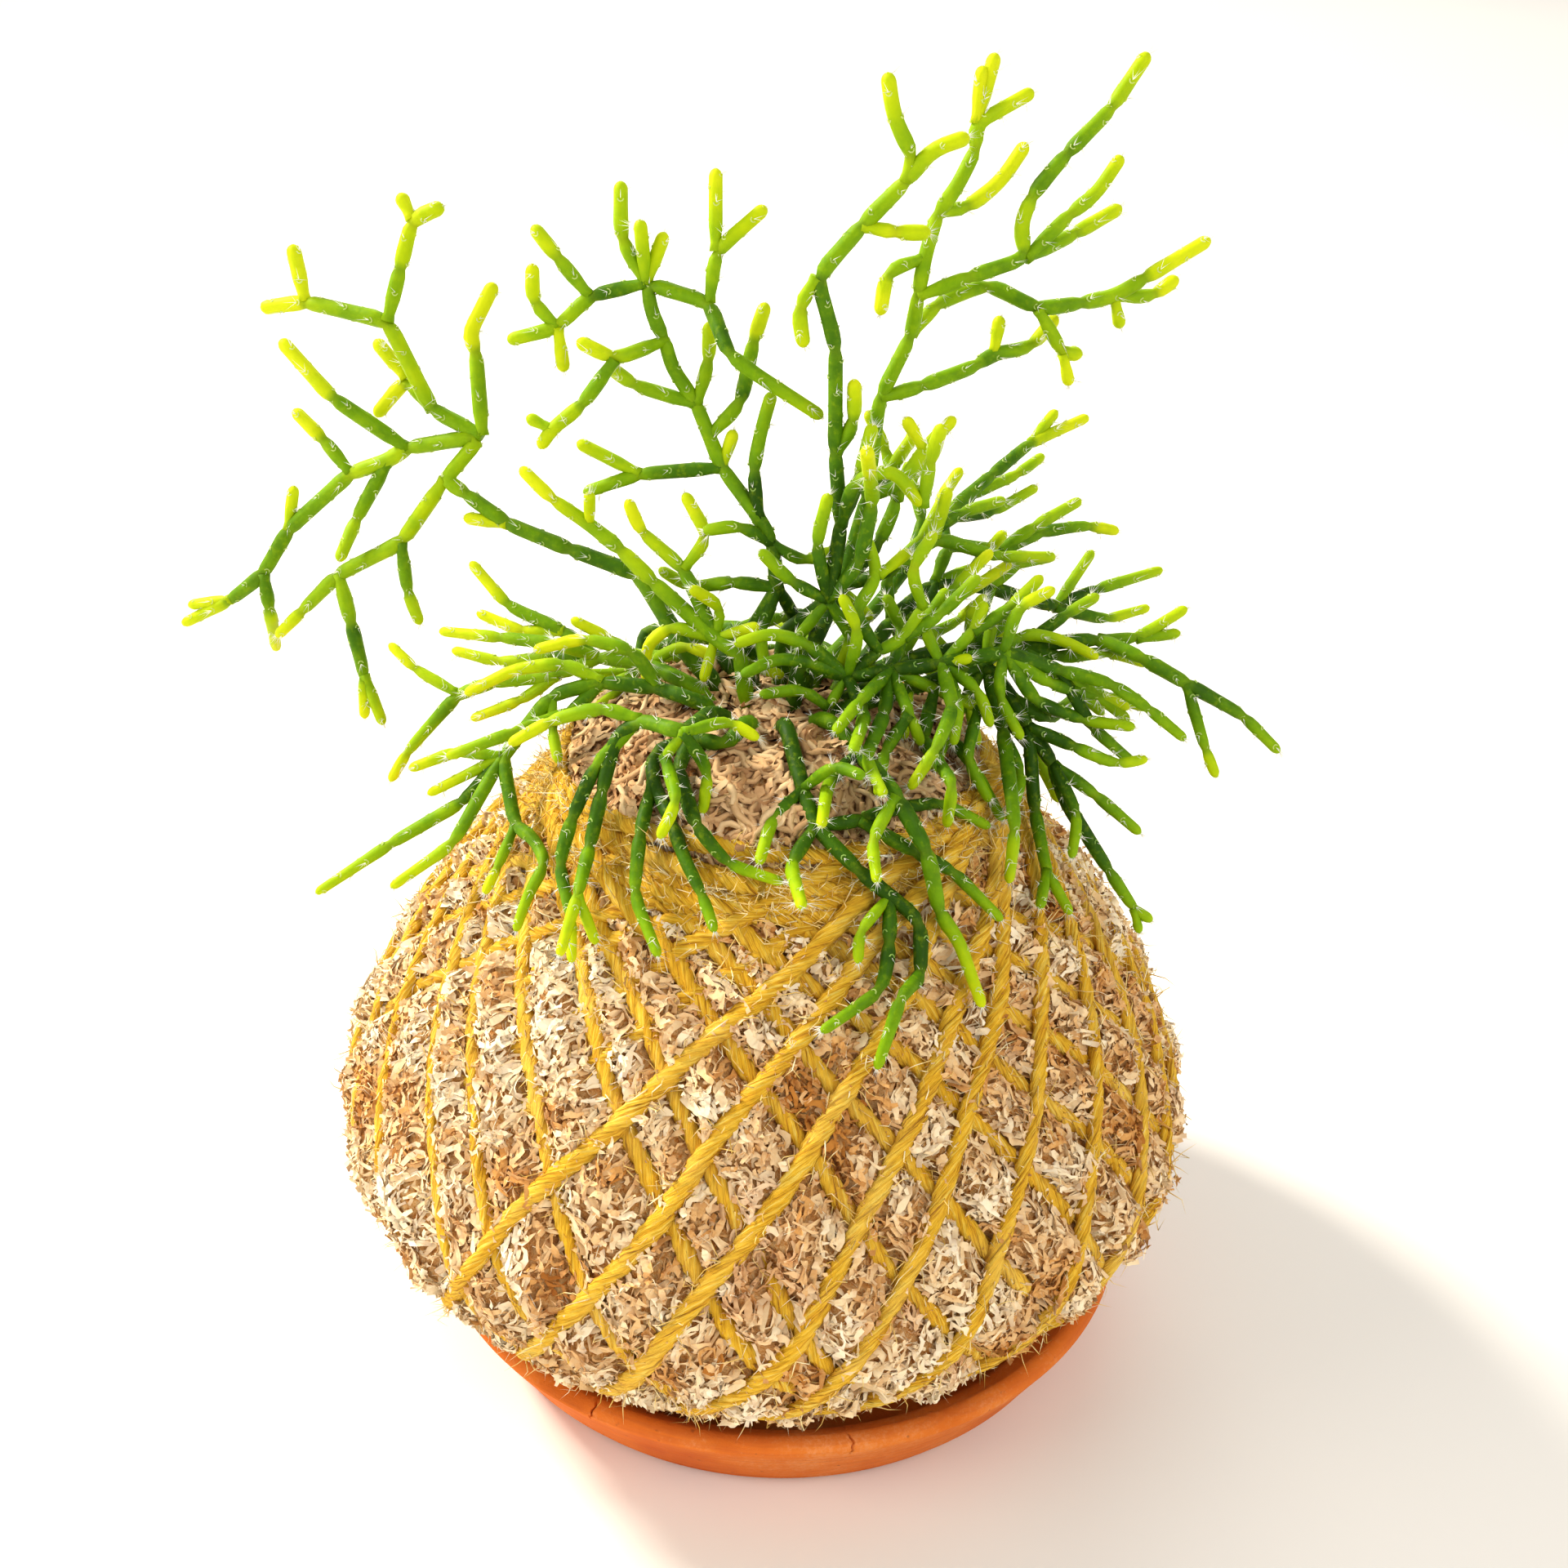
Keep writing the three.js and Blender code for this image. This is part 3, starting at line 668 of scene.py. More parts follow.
moss = {
    "columns": 280,
    "rows": 104,
    "seat": 4.2,
    "footRadius": 24.0,
    "crown": 0.7,
    "grooveFoot": 0.6,
    "grooveTop": 4.4,
    "grooveNarrows": 1.2,                 # how much less wide a groove is over a deep strand
    "grooveSink": 0.5,
    "grooveLump": 0.6,
    "clump": 6.0,
    "clumpHeight": 3.0,
    "lump": 2.4,
    "lumpHeight": 0.9,
    "thickness": 10.0,
    "neckDrop": 1.2,
    "innerEvery": 6,
    "innerFrom": 4,
    "knobAngle": 31.0,
    "knobEdge": (-3, 1),
    "knobGap": 9,
    "deepStrands": (0.8, 2.2),
    "lowest": 139,
    "flow": 4.4 * math.pi,
    # a draped path: its waves' size, start and number, and how its ends and its middle lie
    "waves": ((0.2, 1.0), (0, 6.3), (3, 8)),
    "ends": (-0.5, 1.0),
    "middles": (-0.1, 0.5),
    # clouds that make the marks: share, size and seed
    "patches": ((0.65, 12.0, 8), (0.35, 4.0, 9)),
    # the second shade cloud is the clumps' own: raised clumps are painted paler and hollows darker
    "shades": ((1.0, 5.0, 17), (0.5, 6.0, 3)),
    "shadeLeast": -0.19,
    "shadeStray": 0.11,
    # painted sunlight on the left: how much paler its shades are, and how many fewer brown patches it has
    "paintedSunLeft": 0.12,
    "paintedSunPatchLeft": 0.16,
    "looseOver": 1,
    # combed: patch size, seed and stray; widths: from, to and how rare wide ones are
    "shavings": {
        "count": 32000, "seed": 41, "rings": 6, "curl": 1.6, "tilt": 0.5, "twist": 0.9,
        "offTwine": 0.0, "combed": (8.0, 12, 0.45), "layers": (-0.1, 0.9), "lengths": (2.2, 5.8),
        "widths": (0.19, 0.61, 1.3),
    },
    "crumbs": {
        "count": 9000, "seed": 43, "rings": 4, "curl": 3.0, "tilt": 0.8, "twist": 1.2,
        "offTwine": 1.5, "combed": (5.0, 15, 1.2), "layers": (0.3, 1.2), "lengths": (1.2, 2.6),
        "widths": (0.25, 0.55, 1),
    },
    "fluff": {
        "count": 4200, "lowest": 136, "offTwine": 1.0, "lengths": (1.5, 4.4), "width": 0.09,
        "rise": (0.1, 1.1), "bend": 0.6, "shades": (0.7, 1.0),
    },
    "knobRibbons": {"count": 1500, "lengths": (2.5, 6.0), "widths": (0.4, 0.8), "flat": 0},
    "knobStrands": {"count": 1250, "lengths": (4.5, 10.0), "widths": (0.5, 0.78), "flat": 0.6},
    "knobLayers": (-0.6, 1.1),
    "knobRings": 7,
    "knobOver": 1.5,
    "knobCombed": (7.0, 14, 0.8),
    "knobCurl": 1.8,
    "knobTilt": 0.3,
    "knobTwist": 0.6,
    "knobShade": (0.45, 0.3, 0.18),       # of the lowest, how much paler the highest, and stray; lower strands darker is painted shade
    "overHole": 1.4,
    "holeSpan": (9, 13),
}


# How high the bed stands over the skin: it covers the knob, and is grooved for each strand.
def mossLift(directions):
    gaps, lifts = nearestStrand(directions)
    angle = np.degrees(angleFromTop(directions))
    low, high = moss["knobEdge"]
    knob = 1 - smoothStep(angle, moss["knobAngle"] + low, moss["knobAngle"] + high)
    gaps = np.maximum(gaps, knob * moss["knobGap"])
    deep = smoothStep(-lifts, *moss["deepStrands"])
    share = smoothStep(gaps, moss["grooveFoot"], moss["grooveTop"] - moss["grooveNarrows"] * deep)
    clumps = skinCloud(directions, moss["clump"], 3) - 0.5
    small = skinCloud(directions, moss["lump"], 5) - 0.5
    bulge = moss["crown"] + moss["clumpHeight"] * clumps + moss["lumpHeight"] * small
    return share * bulge + (1 - share) * (lifts - moss["grooveSink"] + moss["grooveLump"] * small)


def mossBedFinish():
    f = Finish("moss_bed")
    place = f.place()
    broad = f.noise(place, 10.0, 3.0)
    fine = f.noise(place, 0.8, 5.0, 0.75)
    flecks = f.noise(place, 0.35, 3.0, 0.6)
    # The bed shows mostly in the gaps between shavings; its dark browns are partly the moss's own tone and
    # partly painted shade in those gaps.
    base = f.ramp(fine, [
        (0.3, 134, 62, 14), (0.4, 204, 130, 56),
        (0.5, 230, 176, 110), (0.66, 244, 208, 152),
    ])
    colour = f.mix(f.span(broad, 0.4, 0.65) * 0.45, base, paint(208, 140, 80))
    return f.surface(colour, 0.95, fine + flecks * 0.5, 1.0, 1.0, {"Specular IOR Level": 0.1})


# mark: shade of the shaving, share of the way to its tip, shade of its patch
def shavingFinish():
    f = Finish("moss_shavings")
    shade, tip, patch = f.parts(f.mark())
    fine = f.noise(f.place(), 0.45, 3.0, 0.6)
    pale = f.ramp(shade + (fine - 0.5) * 0.3, [
        (0.0, 186, 122, 52), (0.22, 216, 162, 96),
        (0.42, 234, 196, 142), (0.7, 244, 222, 182), (1.0, 250, 236, 208),
    ])
    brown = f.ramp(shade, [
        (0.0, 150, 84, 36), (0.5, 206, 144, 84), (1.0, 230, 180, 120),
    ])
    colour = f.mix(f.span(patch, 0.6, 0.78) * 0.55, pale, brown)
    # Shavings darken towards their roots: painted shade where they go into the bed.
    rootShaded = f.mix((1 - f.span(tip, 0.0, 0.35)) * 0.35, colour, paint(158, 88, 28))
    return f.surface(rootShaded, 0.9, fine, 0.12, 0.7, {"Specular IOR Level": 0.15})


# mark: shade of the strand, with painted shade on those low in the pile, share of the way to its tip
def strandFinish():
    f = Finish("moss_strands")
    shade, tip = f.parts(f.mark())[:2]
    fine = f.noise(f.place(), 0.7, 3.0, 0.6)
    colour = f.ramp(shade * 0.8 + fine * 0.3, [
        (0.1, 106, 66, 38), (0.38, 178, 132, 88),
        (0.62, 208, 166, 118), (0.95, 232, 200, 154),
    ])
    # Strands darken towards their roots: painted shade where they go into the moss.
    ends = f.mix((1 - f.span(tip, 0.0, 0.15)) * 0.5, colour, paint(104, 70, 46))
    return f.surface(ends, 0.85, fine, 0.15, 0.8, {"Specular IOR Level": 0.2})


# One closed skin: its foot on the saucer, the outside, the neck's hole and the inside round the soil
def addMossBed():
    azimuth = roundCircle(moss["columns"])
    low = math.degrees(outlineAngles[-1])
    high = math.degrees(outlineAngles[0])
    angles = np.radians(np.linspace(low, high, moss["rows"]))[:, None]
    directions = turned(np.sin(angles), azimuth, np.cos(angles))
    lift = mossLift(directions.reshape(-1, 3)).reshape(directions.shape[:2])
    outer = onBall(directions, lift)
    outer[..., 2] = np.maximum(outer[..., 2], moss["seat"])

    def ringAt(radius, height):
        return turned(radius, azimuth, height) + ball["axis"]

    foot = [ringAt(moss["footRadius"], moss["seat"])]
    neckHeights = (ball["soilTop"] - moss["neckDrop"], ball["neckFoot"])
    neck = [ringAt(ball["neck"], height) for height in neckHeights]
    inner = []
    for radius, height in outline[::moss["innerEvery"]][::-1]:
        if radius > ball["neck"] + moss["innerFrom"]:
            scale = 1 - moss["thickness"] / math.hypot(radius, height - ball["middle"])
            inner.append(ringAt(radius * scale, ball["middle"] + (height - ball["middle"]) * scale))
    rings = np.array([*foot, *outer, *neck, *inner])[None]
    shape = Shape().add(rings, sleeveFaces(rings), np.zeros(3))
    shape.piece("moss_bed", [mossBedFinish()], "dried_moss", ["moss_wrap"])


# Headings that neighbours share, so that shavings lie together as if combed.
def combed(spots, size, seed, stray, random):
    east = unit(np.cross(np.array([0, 0, 1.0]), spots))
    flow = moss["flow"] * skinCloud(spots, size, seed) + random.normal(0, stray, len(spots))
    return np.cos(flow)[:, None] * east + np.sin(flow)[:, None] * np.cross(spots, east)


# Wavy paths that lie on the bed and follow its swellings, with their ends curling up
def draped(spots, headings, lengths, rings, layers, curl, random):
    size = len(spots)
    each = (size, 1)
    share = np.linspace(0, 1, rings)
    angle = random.normal(0, curl, each) * (share - 0.5)
    wave, start, turns = (random.uniform(*span, each) for span in moss["waves"])
    angle = angle + wave * np.sin(start + turns * share)
    across = np.cross(spots, headings)
    steps = np.cos(angle)[..., None] * headings[:, None] + np.sin(angle)[..., None] * across[:, None]
    walked = steps.cumsum(axis=1) - steps.mean(axis=1, keepdims=True) * rings / 2
    walked = walked * (lengths / rings)[:, None, None]
    directions = unit(spots[:, None] * ball["reach"] + walked).reshape(-1, 3)
    ends = np.abs(2 * share - 1) ** 3 * random.uniform(*moss["ends"], each)
    middle = np.sin(math.pi * share) * random.uniform(*moss["middles"], each)
    lift = layers[:, None] + ends + middle
    path = onBall(directions, mossLift(directions) + lift.reshape(-1)).reshape(size, rings, 3)
    along = unit(np.gradient(path, axis=1))
    up = directions.reshape(size, rings, 3)
    up = unit(up - along * dot(up, along))
    return path, up, np.cross(along, up), np.repeat(share[None], size, axis=0)


def marksAlong(marks, rings, around):
    made = np.repeat(np.repeat(marks[:, None, None, :], rings, axis=1), around, axis=2)
    made[..., 1] = np.linspace(0, 1, rings)[None, :, None]
    return made


# Patches and clumps share their shades: the shades follow the clumps' own cloud, so raised clumps are
# paler and hollows darker, painted light and shade. The left side is painted paler, with fewer brown
# patches: painted sunlight.
def mossMarks(spots, random):
    litPaler = np.maximum(-spots[:, 0], 0)
    patch, shade = (
        sum(share * skinCloud(spots, size, seed) for share, size, seed in moss[clouds])
        for clouds in ("patches", "shades")
    )
    # Fewer brown patches and paler shades on the left side: painted sunlight.
    patch = patch - moss["paintedSunPatchLeft"] * litPaler
    stray = random.normal(0, moss["shadeStray"], len(spots))
    shade = moss["shadeLeast"] + shade + moss["paintedSunLeft"] * litPaler + stray
    return np.stack([shade, 0 * shade, patch], axis=1)


# Loose ribbons from the knob down to the saucer: where they lie, their points, faces and marks
def looseRibbons(look):
    random = np.random.default_rng(look["seed"])
    highest = moss["knobAngle"] - moss["looseOver"]
    spots = spread(int(look["count"] * thin), highest, moss["lowest"], random)
    spots = spots[nearestStrand(spots)[0] >= look["offTwine"]]
    size = len(spots)
    headings = combed(spots, *look["combed"], random)
    layers = random.uniform(*look["layers"], size)
    lengths = random.uniform(*look["lengths"], size)
    paths = draped(spots, headings, lengths, look["rings"], layers, look["curl"], random)
    tilts, twists = random.normal(0, look["tilt"], size), random.normal(0, look["twist"], size)
    low, high, rare = look["widths"]
    widths = low + (high - low) * random.uniform(0, 1, size) ** rare
    strips, faces = ribbons(paths, widths, tilts, twists, random)
    return spots, strips, faces, marksAlong(mossMarks(spots, random), look["rings"], 2)


# The shavings are two pieces, the upper half and the lower one, to keep each piece light.
def addLooseMoss(finish):
    spots, strips, faces, marks = looseRibbons(moss["shavings"])
    fromTop = np.argsort(-spots[:, 2], kind="stable")
    for letter, chosen in zip("ab", np.array_split(fromTop, 2)):
        shape = Shape().add(strips[chosen], [faces[0][:len(chosen)]], marks[chosen])
        shape.piece("moss_shavings_" + letter, [finish], "dried_moss")
    shape = Shape().add(*looseRibbons(moss["crumbs"])[1:])
    shape.piece("moss_crumbs", [finish], "dried_moss")


def addMossFluff(finish):
    fluff = moss["fluff"]
    random = np.random.default_rng(47)
    spots = spread(int(fluff["count"] * thin), moss["knobAngle"], fluff["lowest"], random)
    spots = spots[nearestStrand(spots)[0] > fluff["offTwine"]]
    size = len(spots)
    roots = onBall(spots, mossLift(spots))
    level = unit(np.cross(spots, unit(random.normal(0, 1, spots.shape))))
    headings = unit(level + spots * random.uniform(*fluff["rise"], (size, 1)))
    bends = random.normal(0, fluff["bend"], spots.shape)
    lengths = random.uniform(*fluff["lengths"], size)
    shade = random.uniform(*fluff["shades"], size)
    marks = np.stack([shade, np.ones(size), np.zeros(size)], axis=1)
    shape = Shape()
    needles(shape, roots, headings, bends, lengths, fluff["width"], marks)
    shape.piece("moss_fluff", [finish], "dried_moss")


# Over the knob's hole they sink, so that they cover the soil between the stems.
def addKnobStrands():
    random = np.random.default_rng(53)
    rings = moss["knobRings"]
    dark, litPaler, stray = moss["knobShade"]
    shape = Shape()
    for look in (moss["knobRibbons"], moss["knobStrands"]):
        spots = spread(int(look["count"] * thin), 1, moss["knobAngle"] + moss["knobOver"], random)
        size = len(spots)
        sunk = moss["overHole"] * (1 - smoothStep(np.degrees(angleFromTop(spots)), *moss["holeSpan"]))
        layers = random.uniform(*moss["knobLayers"], size)
        headings = combed(spots, *moss["knobCombed"], random)
        # Strands lying lower in the pile are darker: painted shade under the strands above.
        shade = dark + litPaler * layers + random.normal(0, stray, size)
        marks = np.stack([shade, 0 * shade, 0 * shade], axis=1)
        lengths = random.uniform(*look["lengths"], size)
        paths = draped(spots, headings, lengths, rings, layers - sunk, moss["knobCurl"], random)
        if look["flat"]:
            parts = tubes(paths, random.uniform(*look["widths"], size), 4, look["flat"])
            shape.add(parts, sleeveFaces(parts), marksAlong(marks, rings, 4))
        else:
            tilts = random.normal(0, moss["knobTilt"], size)
            twists = random.normal(0, moss["knobTwist"], size)
            widths = random.uniform(*look["widths"], size)
            parts, faces = ribbons(paths, widths, tilts, twists, random)
            shape.add(parts, faces, marksAlong(marks, rings, 2))
    shape.piece("moss_strands", [strandFinish()], "dried_moss")


# Soil: the solid's own top shows between the stems, with crumbs on it

soil = {
    "crumbs": 420,
    "size": 0.9,
    "sizes": (0.4, 1.0),
    "uneven": (0.6, 1.2),
    "inset": 1.2,
    "lift": 0.1,
}


def soilFinish():
    f = Finish("soil")
    place = f.place()
    broad = f.noise(place, 5.0, 3.0)
    fine = f.noise(place, 0.8, 4.0, 0.7)
    colour = f.ramp(fine * 0.7 + broad * 0.3, [
        (0.3, 34, 22, 14), (0.5, 78, 54, 36), (0.7, 132, 98, 66),
    ])
    return f.surface(colour, 0.95, fine + broad, 1.2, 1.0, {"Specular IOR Level": 0.15})


def addSoil():
    finish = soilFinish()
    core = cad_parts["soil_core"]
    core.data.materials.clear()
    core.data.materials.append(finish)
    random = np.random.default_rng(61)
    count = int(soil["crumbs"] * thin)
    distance = (ball["neck"] - soil["inset"]) * np.sqrt(random.uniform(0, 1, count))
    azimuth = random.uniform(0, 2 * math.pi, count)
    middle = turned(distance, azimuth, ball["soilTop"] + soil["lift"]) + ball["axis"]
    size = random.uniform(*soil["sizes"], (count, 1, 1)) * soil["size"]
    # the eight corners of a cube, each pulled in or out
    corners = unit(np.array([[1, 1, 1], [-1, -1, 1], [-1, 1, -1], [1, -1, -1]], float))
    corners = np.concatenate([corners, -corners])
    crumbs = middle[:, None, :] + corners * size * random.uniform(*soil["uneven"], (count, 8, 1))
    base = 8 * np.arange(count)[:, None]
    sides = [(0, 6, 1, 7), (0, 5, 3, 6), (0, 7, 2, 5), (4, 2, 7, 1), (4, 3, 5, 2), (4, 1, 6, 3)]
    faces = np.stack([base + np.array(side) for side in sides], axis=1)
    shape = Shape().add(crumbs, [faces], np.zeros(3))
    shape.piece("soil_crumbs", [finish], "soil")


# Saucer: the solid's section, turned fine, with a rolled rim and a small ledge over the foot. Chips
# and cracks break the rim; each chip is an angle and a size, each crack an angle.

dish = {
    "rim": 56.4,
    "foot": 49.0,
    "bevel": 1.0,
    "height": 15.0,
    "wall": 3.4,
    "floor": 3.8,
    "rimTurn": 130,
    "rimSteps": 12,
    "wallSteps": 10,
    "floorSteps": (1, 12),
    "innerSlope": [[52.9, 14.0], [51.1, 12.9], [49.6, 11.4], [48.5, 9.5], [47.6, 7.4], [47.1, 5.8]],
    "ledge": [[49.15, 2.0], [49.25, 2.5], [49.6, 2.8], [50.3, 2.95], [50.75, 3.3], [51.0, 3.9]],
    "columns": 180,
    "wavers": ((0.22, 2, 0.6), (0.08, 5, 0.0)),      # mm, waves round the rim, phase
    "waverSpan": (4, 12),
    "chips": [(-62, 1.1), (-97, 0.7), (148, 1.0), (31, 0.8), (-121, 1.5), (-126, 1.2), (-136, 0.9)],
    "chipWidth": 0.045,
    "chipHeight": 2.2,
    "chipDown": 0.6,
    "chipIn": 0.35,
    "cracks": [-78.0, -118.0, 62.0],
    "crackGap": 1.1,
    # degrees to each side of a crack, and how deep it is there
    "crackColumns": ((-0.8, 0.0), (-0.25, 0.15), (0.0, 1.0), (0.25, 0.15), (0.8, 0.0)),
    "crackSpan": (12.6, 13.2),
    "crackIn": 0.7,
    "crackDown": 0.5,
    "crackJag": 0.02,
    "crackFade": 0.6,
    "jagSize": 1.5,
}


def terracottaFinish():
    f = Finish("terracotta")
    place = f.place()
    turning = f.noise(f.stretched(place, (0.03, 0.03, 1.3)), 1.0, 4.0, 0.6)
    patches = f.noise(place, 22.0, 4.0, 0.6)
    grain = f.noise(place, 0.7, 4.0, 0.7)
    specks = f.noise(place, 1.6, 2.0, 0.5)
    fired = f.ramp(patches, [
        (0.3, 196, 90, 26), (0.5, 214, 110, 34), (0.7, 226, 130, 50),
    ])
    lined = f.mix(f.span(turning, 0.45, 0.65) * 0.3, fired, paint(178, 84, 42))
    dusty = f.mix(f.span(patches * 0.6 + grain * 0.4, 0.5, 0.7) * 0.5, lined, paint(230, 164, 112))
    colour = f.mix(f.span(specks, 0.68, 0.78) * 0.5, dusty, paint(120, 58, 34))
    height = grain * 0.6 + turning * 0.8
    return f.surface(colour, 0.82, height, 0.22, 0.8, {"Specular IOR Level": 0.2})


# The section from the foot's edge up the outside, over the rim and down to the middle of the floor
def saucerProfile():
    half = dish["wall"] / 2
    reach, rise = dish["rim"] - half, dish["height"] - half
    turns = np.radians(np.linspace(0, dish["rimTurn"], dish["rimSteps"]))
    rimRing = [[reach + half * math.cos(a), rise + half * math.sin(a)] for a in turns]
    foot = [[dish["foot"] - dish["bevel"], 0], [dish["foot"], dish["bevel"]]] + dish["ledge"]
    start, end, steps = np.array(foot[-1]), np.array(rimRing[0]), dish["wallSteps"]
    wall = [list(start + (end - start) * k / steps) for k in range(1, steps)]
    inside = dish["foot"] - dish["wall"]
    floorEdge = [[inside - step, dish["floor"]] for step in dish["floorSteps"]]
    return np.array(foot + wall + rimRing + dish["innerSlope"] + floorEdge)


# Azimuths of the columns, which stand closer at the cracks, and how deep a crack is at each
def saucerColumns():
    columns = [(360 * k / dish["columns"], 0.0) for k in range(dish["columns"])]
    for where in dish["cracks"]:
        columns = [
            (angle, depth) for angle, depth in columns
            if abs((angle - where + 180) % 360 - 180) > dish["crackGap"]
        ]
        columns += [(where % 360 + way, depth) for way, depth in dish["crackColumns"]]
    azimuth, crack = np.array(sorted(columns)).T
    return np.radians(azimuth), crack


def addSaucer():
    profile = saucerProfile()
    azimuth, crack = saucerColumns()
    radius = profile[:, :1] + 0 * azimuth
    height = profile[:, 1:] + 0 * azimuth
    low, high = dish["crackSpan"]
    opened = (crack != 0) * smoothStep(height, low, high)
    raised = smoothStep(height, *dish["waverSpan"])
    for size, waves, phase in dish["wavers"]:
        radius = radius + raised * size * np.sin(waves * azimuth + phase)
    for where, depth in dish["chips"]:
        away = np.abs((azimuth - math.radians(where) + math.pi) % (2 * math.pi) - math.pi)
        nearRim = smoothStep(height, dish["height"] - dish["chipHeight"], dish["height"])
        bite = np.exp(-(away / dish["chipWidth"]) ** 2) * nearRim
        height = height - bite * depth * dish["chipDown"]
        radius = radius - bite * depth * dish["chipIn"]
    radius = radius - dish["crackIn"] * opened * crack
    height = height - dish["crackDown"] * opened * crack
    jag = cloud(np.stack([2 * radius, 0 * radius, 3 * height], axis=-1), dish["jagSize"], 21) - 0.5
    jagged = jag * (crack > 0) * smoothStep(height, low - dish["crackFade"], low)
    azimuth = azimuth + dish["crackJag"] * jagged
    rings = turned(radius, azimuth, height)[None]
    shape = Shape().add(rings, sleeveFaces(rings), np.zeros(3))
    shape.piece("saucer_fired", [terracottaFinish()], "terracotta", ["saucer"], sharp=50)


# Plant: each spray is drawn as it looks from a standpoint in front and above, then laid on a plane
# of its own through the crown. Numbers in a run come in pairs, across and up, in drawn mm, and a
# list inside a run is a fork that leaves the point before it. Each joint is lifted off the moss, and
# bent nearer or further until it clears the stems that are laid already.

plant = {
    "standpoint": np.array([0.0, -249.0, 223.0]),
    "heart": np.array([-1.5, -0.7, 104.3]),
    "drawnScale": 0.918,
    "drawnRoll": math.radians(1.75),
    "holeRings": [4.2, 9.2],
    "holeLead": [[1.2, 8.0], [4.5, 2.6]],
    "rootDepth": 13.0,
    "gap": 0.4,
    "mouthRise": 1.6,
    "stemClearance": 3.4,
    "twigClearance": 2.3,
    "knobClearance": 2.2,
    "twineClearance": 3.4,
    "twineTop": 97.0,
    "twineFade": 5.0,
    "neckClearance": 1.7,
    "soilClearance": 0.5,
    "bends": [0, 2.5, -2.5, 5, -5, 7.5, -7.5, 10, -10, 13, -13],
    "mostLifts": 90,
    "tested": np.array([[0.4], [0.7], [1.0]]),       # where along a stretch it may not be buried
    "sameEnd": 0.01,
}
# A stem narrows at its joints and swells past them; it is paler and hairier the younger it is. Its
# paleness also carries painted sunlight: paler high up, far out and on the left-hand sprays.
plantFinish = {
    "radius": 1.28,
    "tipRadius": 1.06,
    "forkRadius": 1.06,
    "farReach": 60,
    "taper": 0.28,
    "taperLength": 18.0,
    "highTaper": 0.8,
    "sides": 8,
    "step": 1.1,
    "fewestSteps": 5,
    "corner": 2.4,
    "cornerSteps": 7,
    "cornerShare": 0.45,
    "jointGap": 6.5,
    # how much a stem swells, how far past a joint or its own start, and over what length
    "jointSwells": ((-0.28, 0.0, 0.75), (0.06, 2.2, 1.3)),
    "forkSwells": ((-0.25, 1.3, 1.2),),
    "roundEnd": 1.15,
    "leastEnd": 0.15,
    "endSteps": [1.1, 0.65, 0.3, 0.09, 0.0],
    "jointMark": 0.6,
    "bareRoot": 15.0,
    "bareFork": 2.5,
    "bareTip": 0.6,
    "areoleSpacing": 1.5,
    "areoleStray": 0.25,
    "areole": 0.5,
    "areoleArc": 78,
    "areoleLong": 1.2,
    "areoleLips": ((0.66, -0.03), (0.84, 0.09), (1.0, -0.05)),     # share of its size, and lift
    "areoleTop": 0.03,
    "areolePale": 0.55,
    "bristle": 0.05,
    "bristlesEach": 6,
    "bristleShare": (0.25, 0.6),          # of those that grow: on an old stem, and more on a young one
    "bristleLean": (0.1, 1.0),
    "bristleStray": 0.4,
    "bristleLengths": (0.8, 2.5),
    "bristleYoung": (0.7, 0.5),
    "bristleSunk": 0.08,
    "tuft": 16,
    "tuftStray": 0.5,
    "tuftSunk": 0.4,
    "tuftLengths": (0.9, 2.2),
    "twigHair": 0.3,
    "highUp": 50,
    "farAway": 75,
    "tipLength": 14,
    "youngAndSunlitAway": 0.2,                     # how much paler far out (younger, and painted sunlight), high up (painted sunlight), past the last joint (younger)
    "sunlitHigh": 0.36,                    # and at the tip, and below how much each spray is
    "youngLast": 0.14,
    "youngTip": 0.42,
    "youngStray": (-0.06, 0.06),
    "twigStray": (-0.06, 0.12),
    # each spray's offset: the left-hand sprays are painted paler as painted sunlight, the middle and tall
    # ones darker
    "youngAndSunlit": {
        "left": 0.28, "fall_left": 0.2, "low_left": 0.28, "front_left": 0.1, "arch": 0.12,
        "middle": -0.17, "tall": -0.13, "tallest": -0.08, "crown_tuft": -0.04, "fall_right": -0.04,
    },
    "girth": {"arch": 1.12, "front_left": 0.93, "front_short": 0.93, "fall_left": 0.93, "front": 0.95},
}

arch = [
    -23, 22, -34, 26, -44, 30, [-51, 31], -51, 35, -54, 37,
    [-61, 27, [-60, 19, -58, 14], -71, 22, [-69, 14, -67, 6, [-64, -2], -67, -1], -77, 16, -81, 12],
    -48, 44, [-49, 57, -50, 60, -46, 68],
    [
        -56, 48, [-60, 53, [-65, 59], -65, 47], -63, 62,
        [-61, 70, -59, 78, [-61, 82], -54, 80], -76, 65, [-78, 74], -83, 64,
    ],
    -60, 42, [-72, 50, -80, 59], -63, 40, [-68, 31, -71, 24], -69, 38, [-73, 43, -78, 48],
    -79, 29, [-78, 36], -83, 22, [-82, 16, -81, 10], -88, 18, [-95, 17], -96, 14,
]
lowLeft = [-11, 12, [-16, 23, -23, 29, -25, 34], -21, 21, -26, 26, -31, 30, [-31, 35], -37, 34, -42, 39]
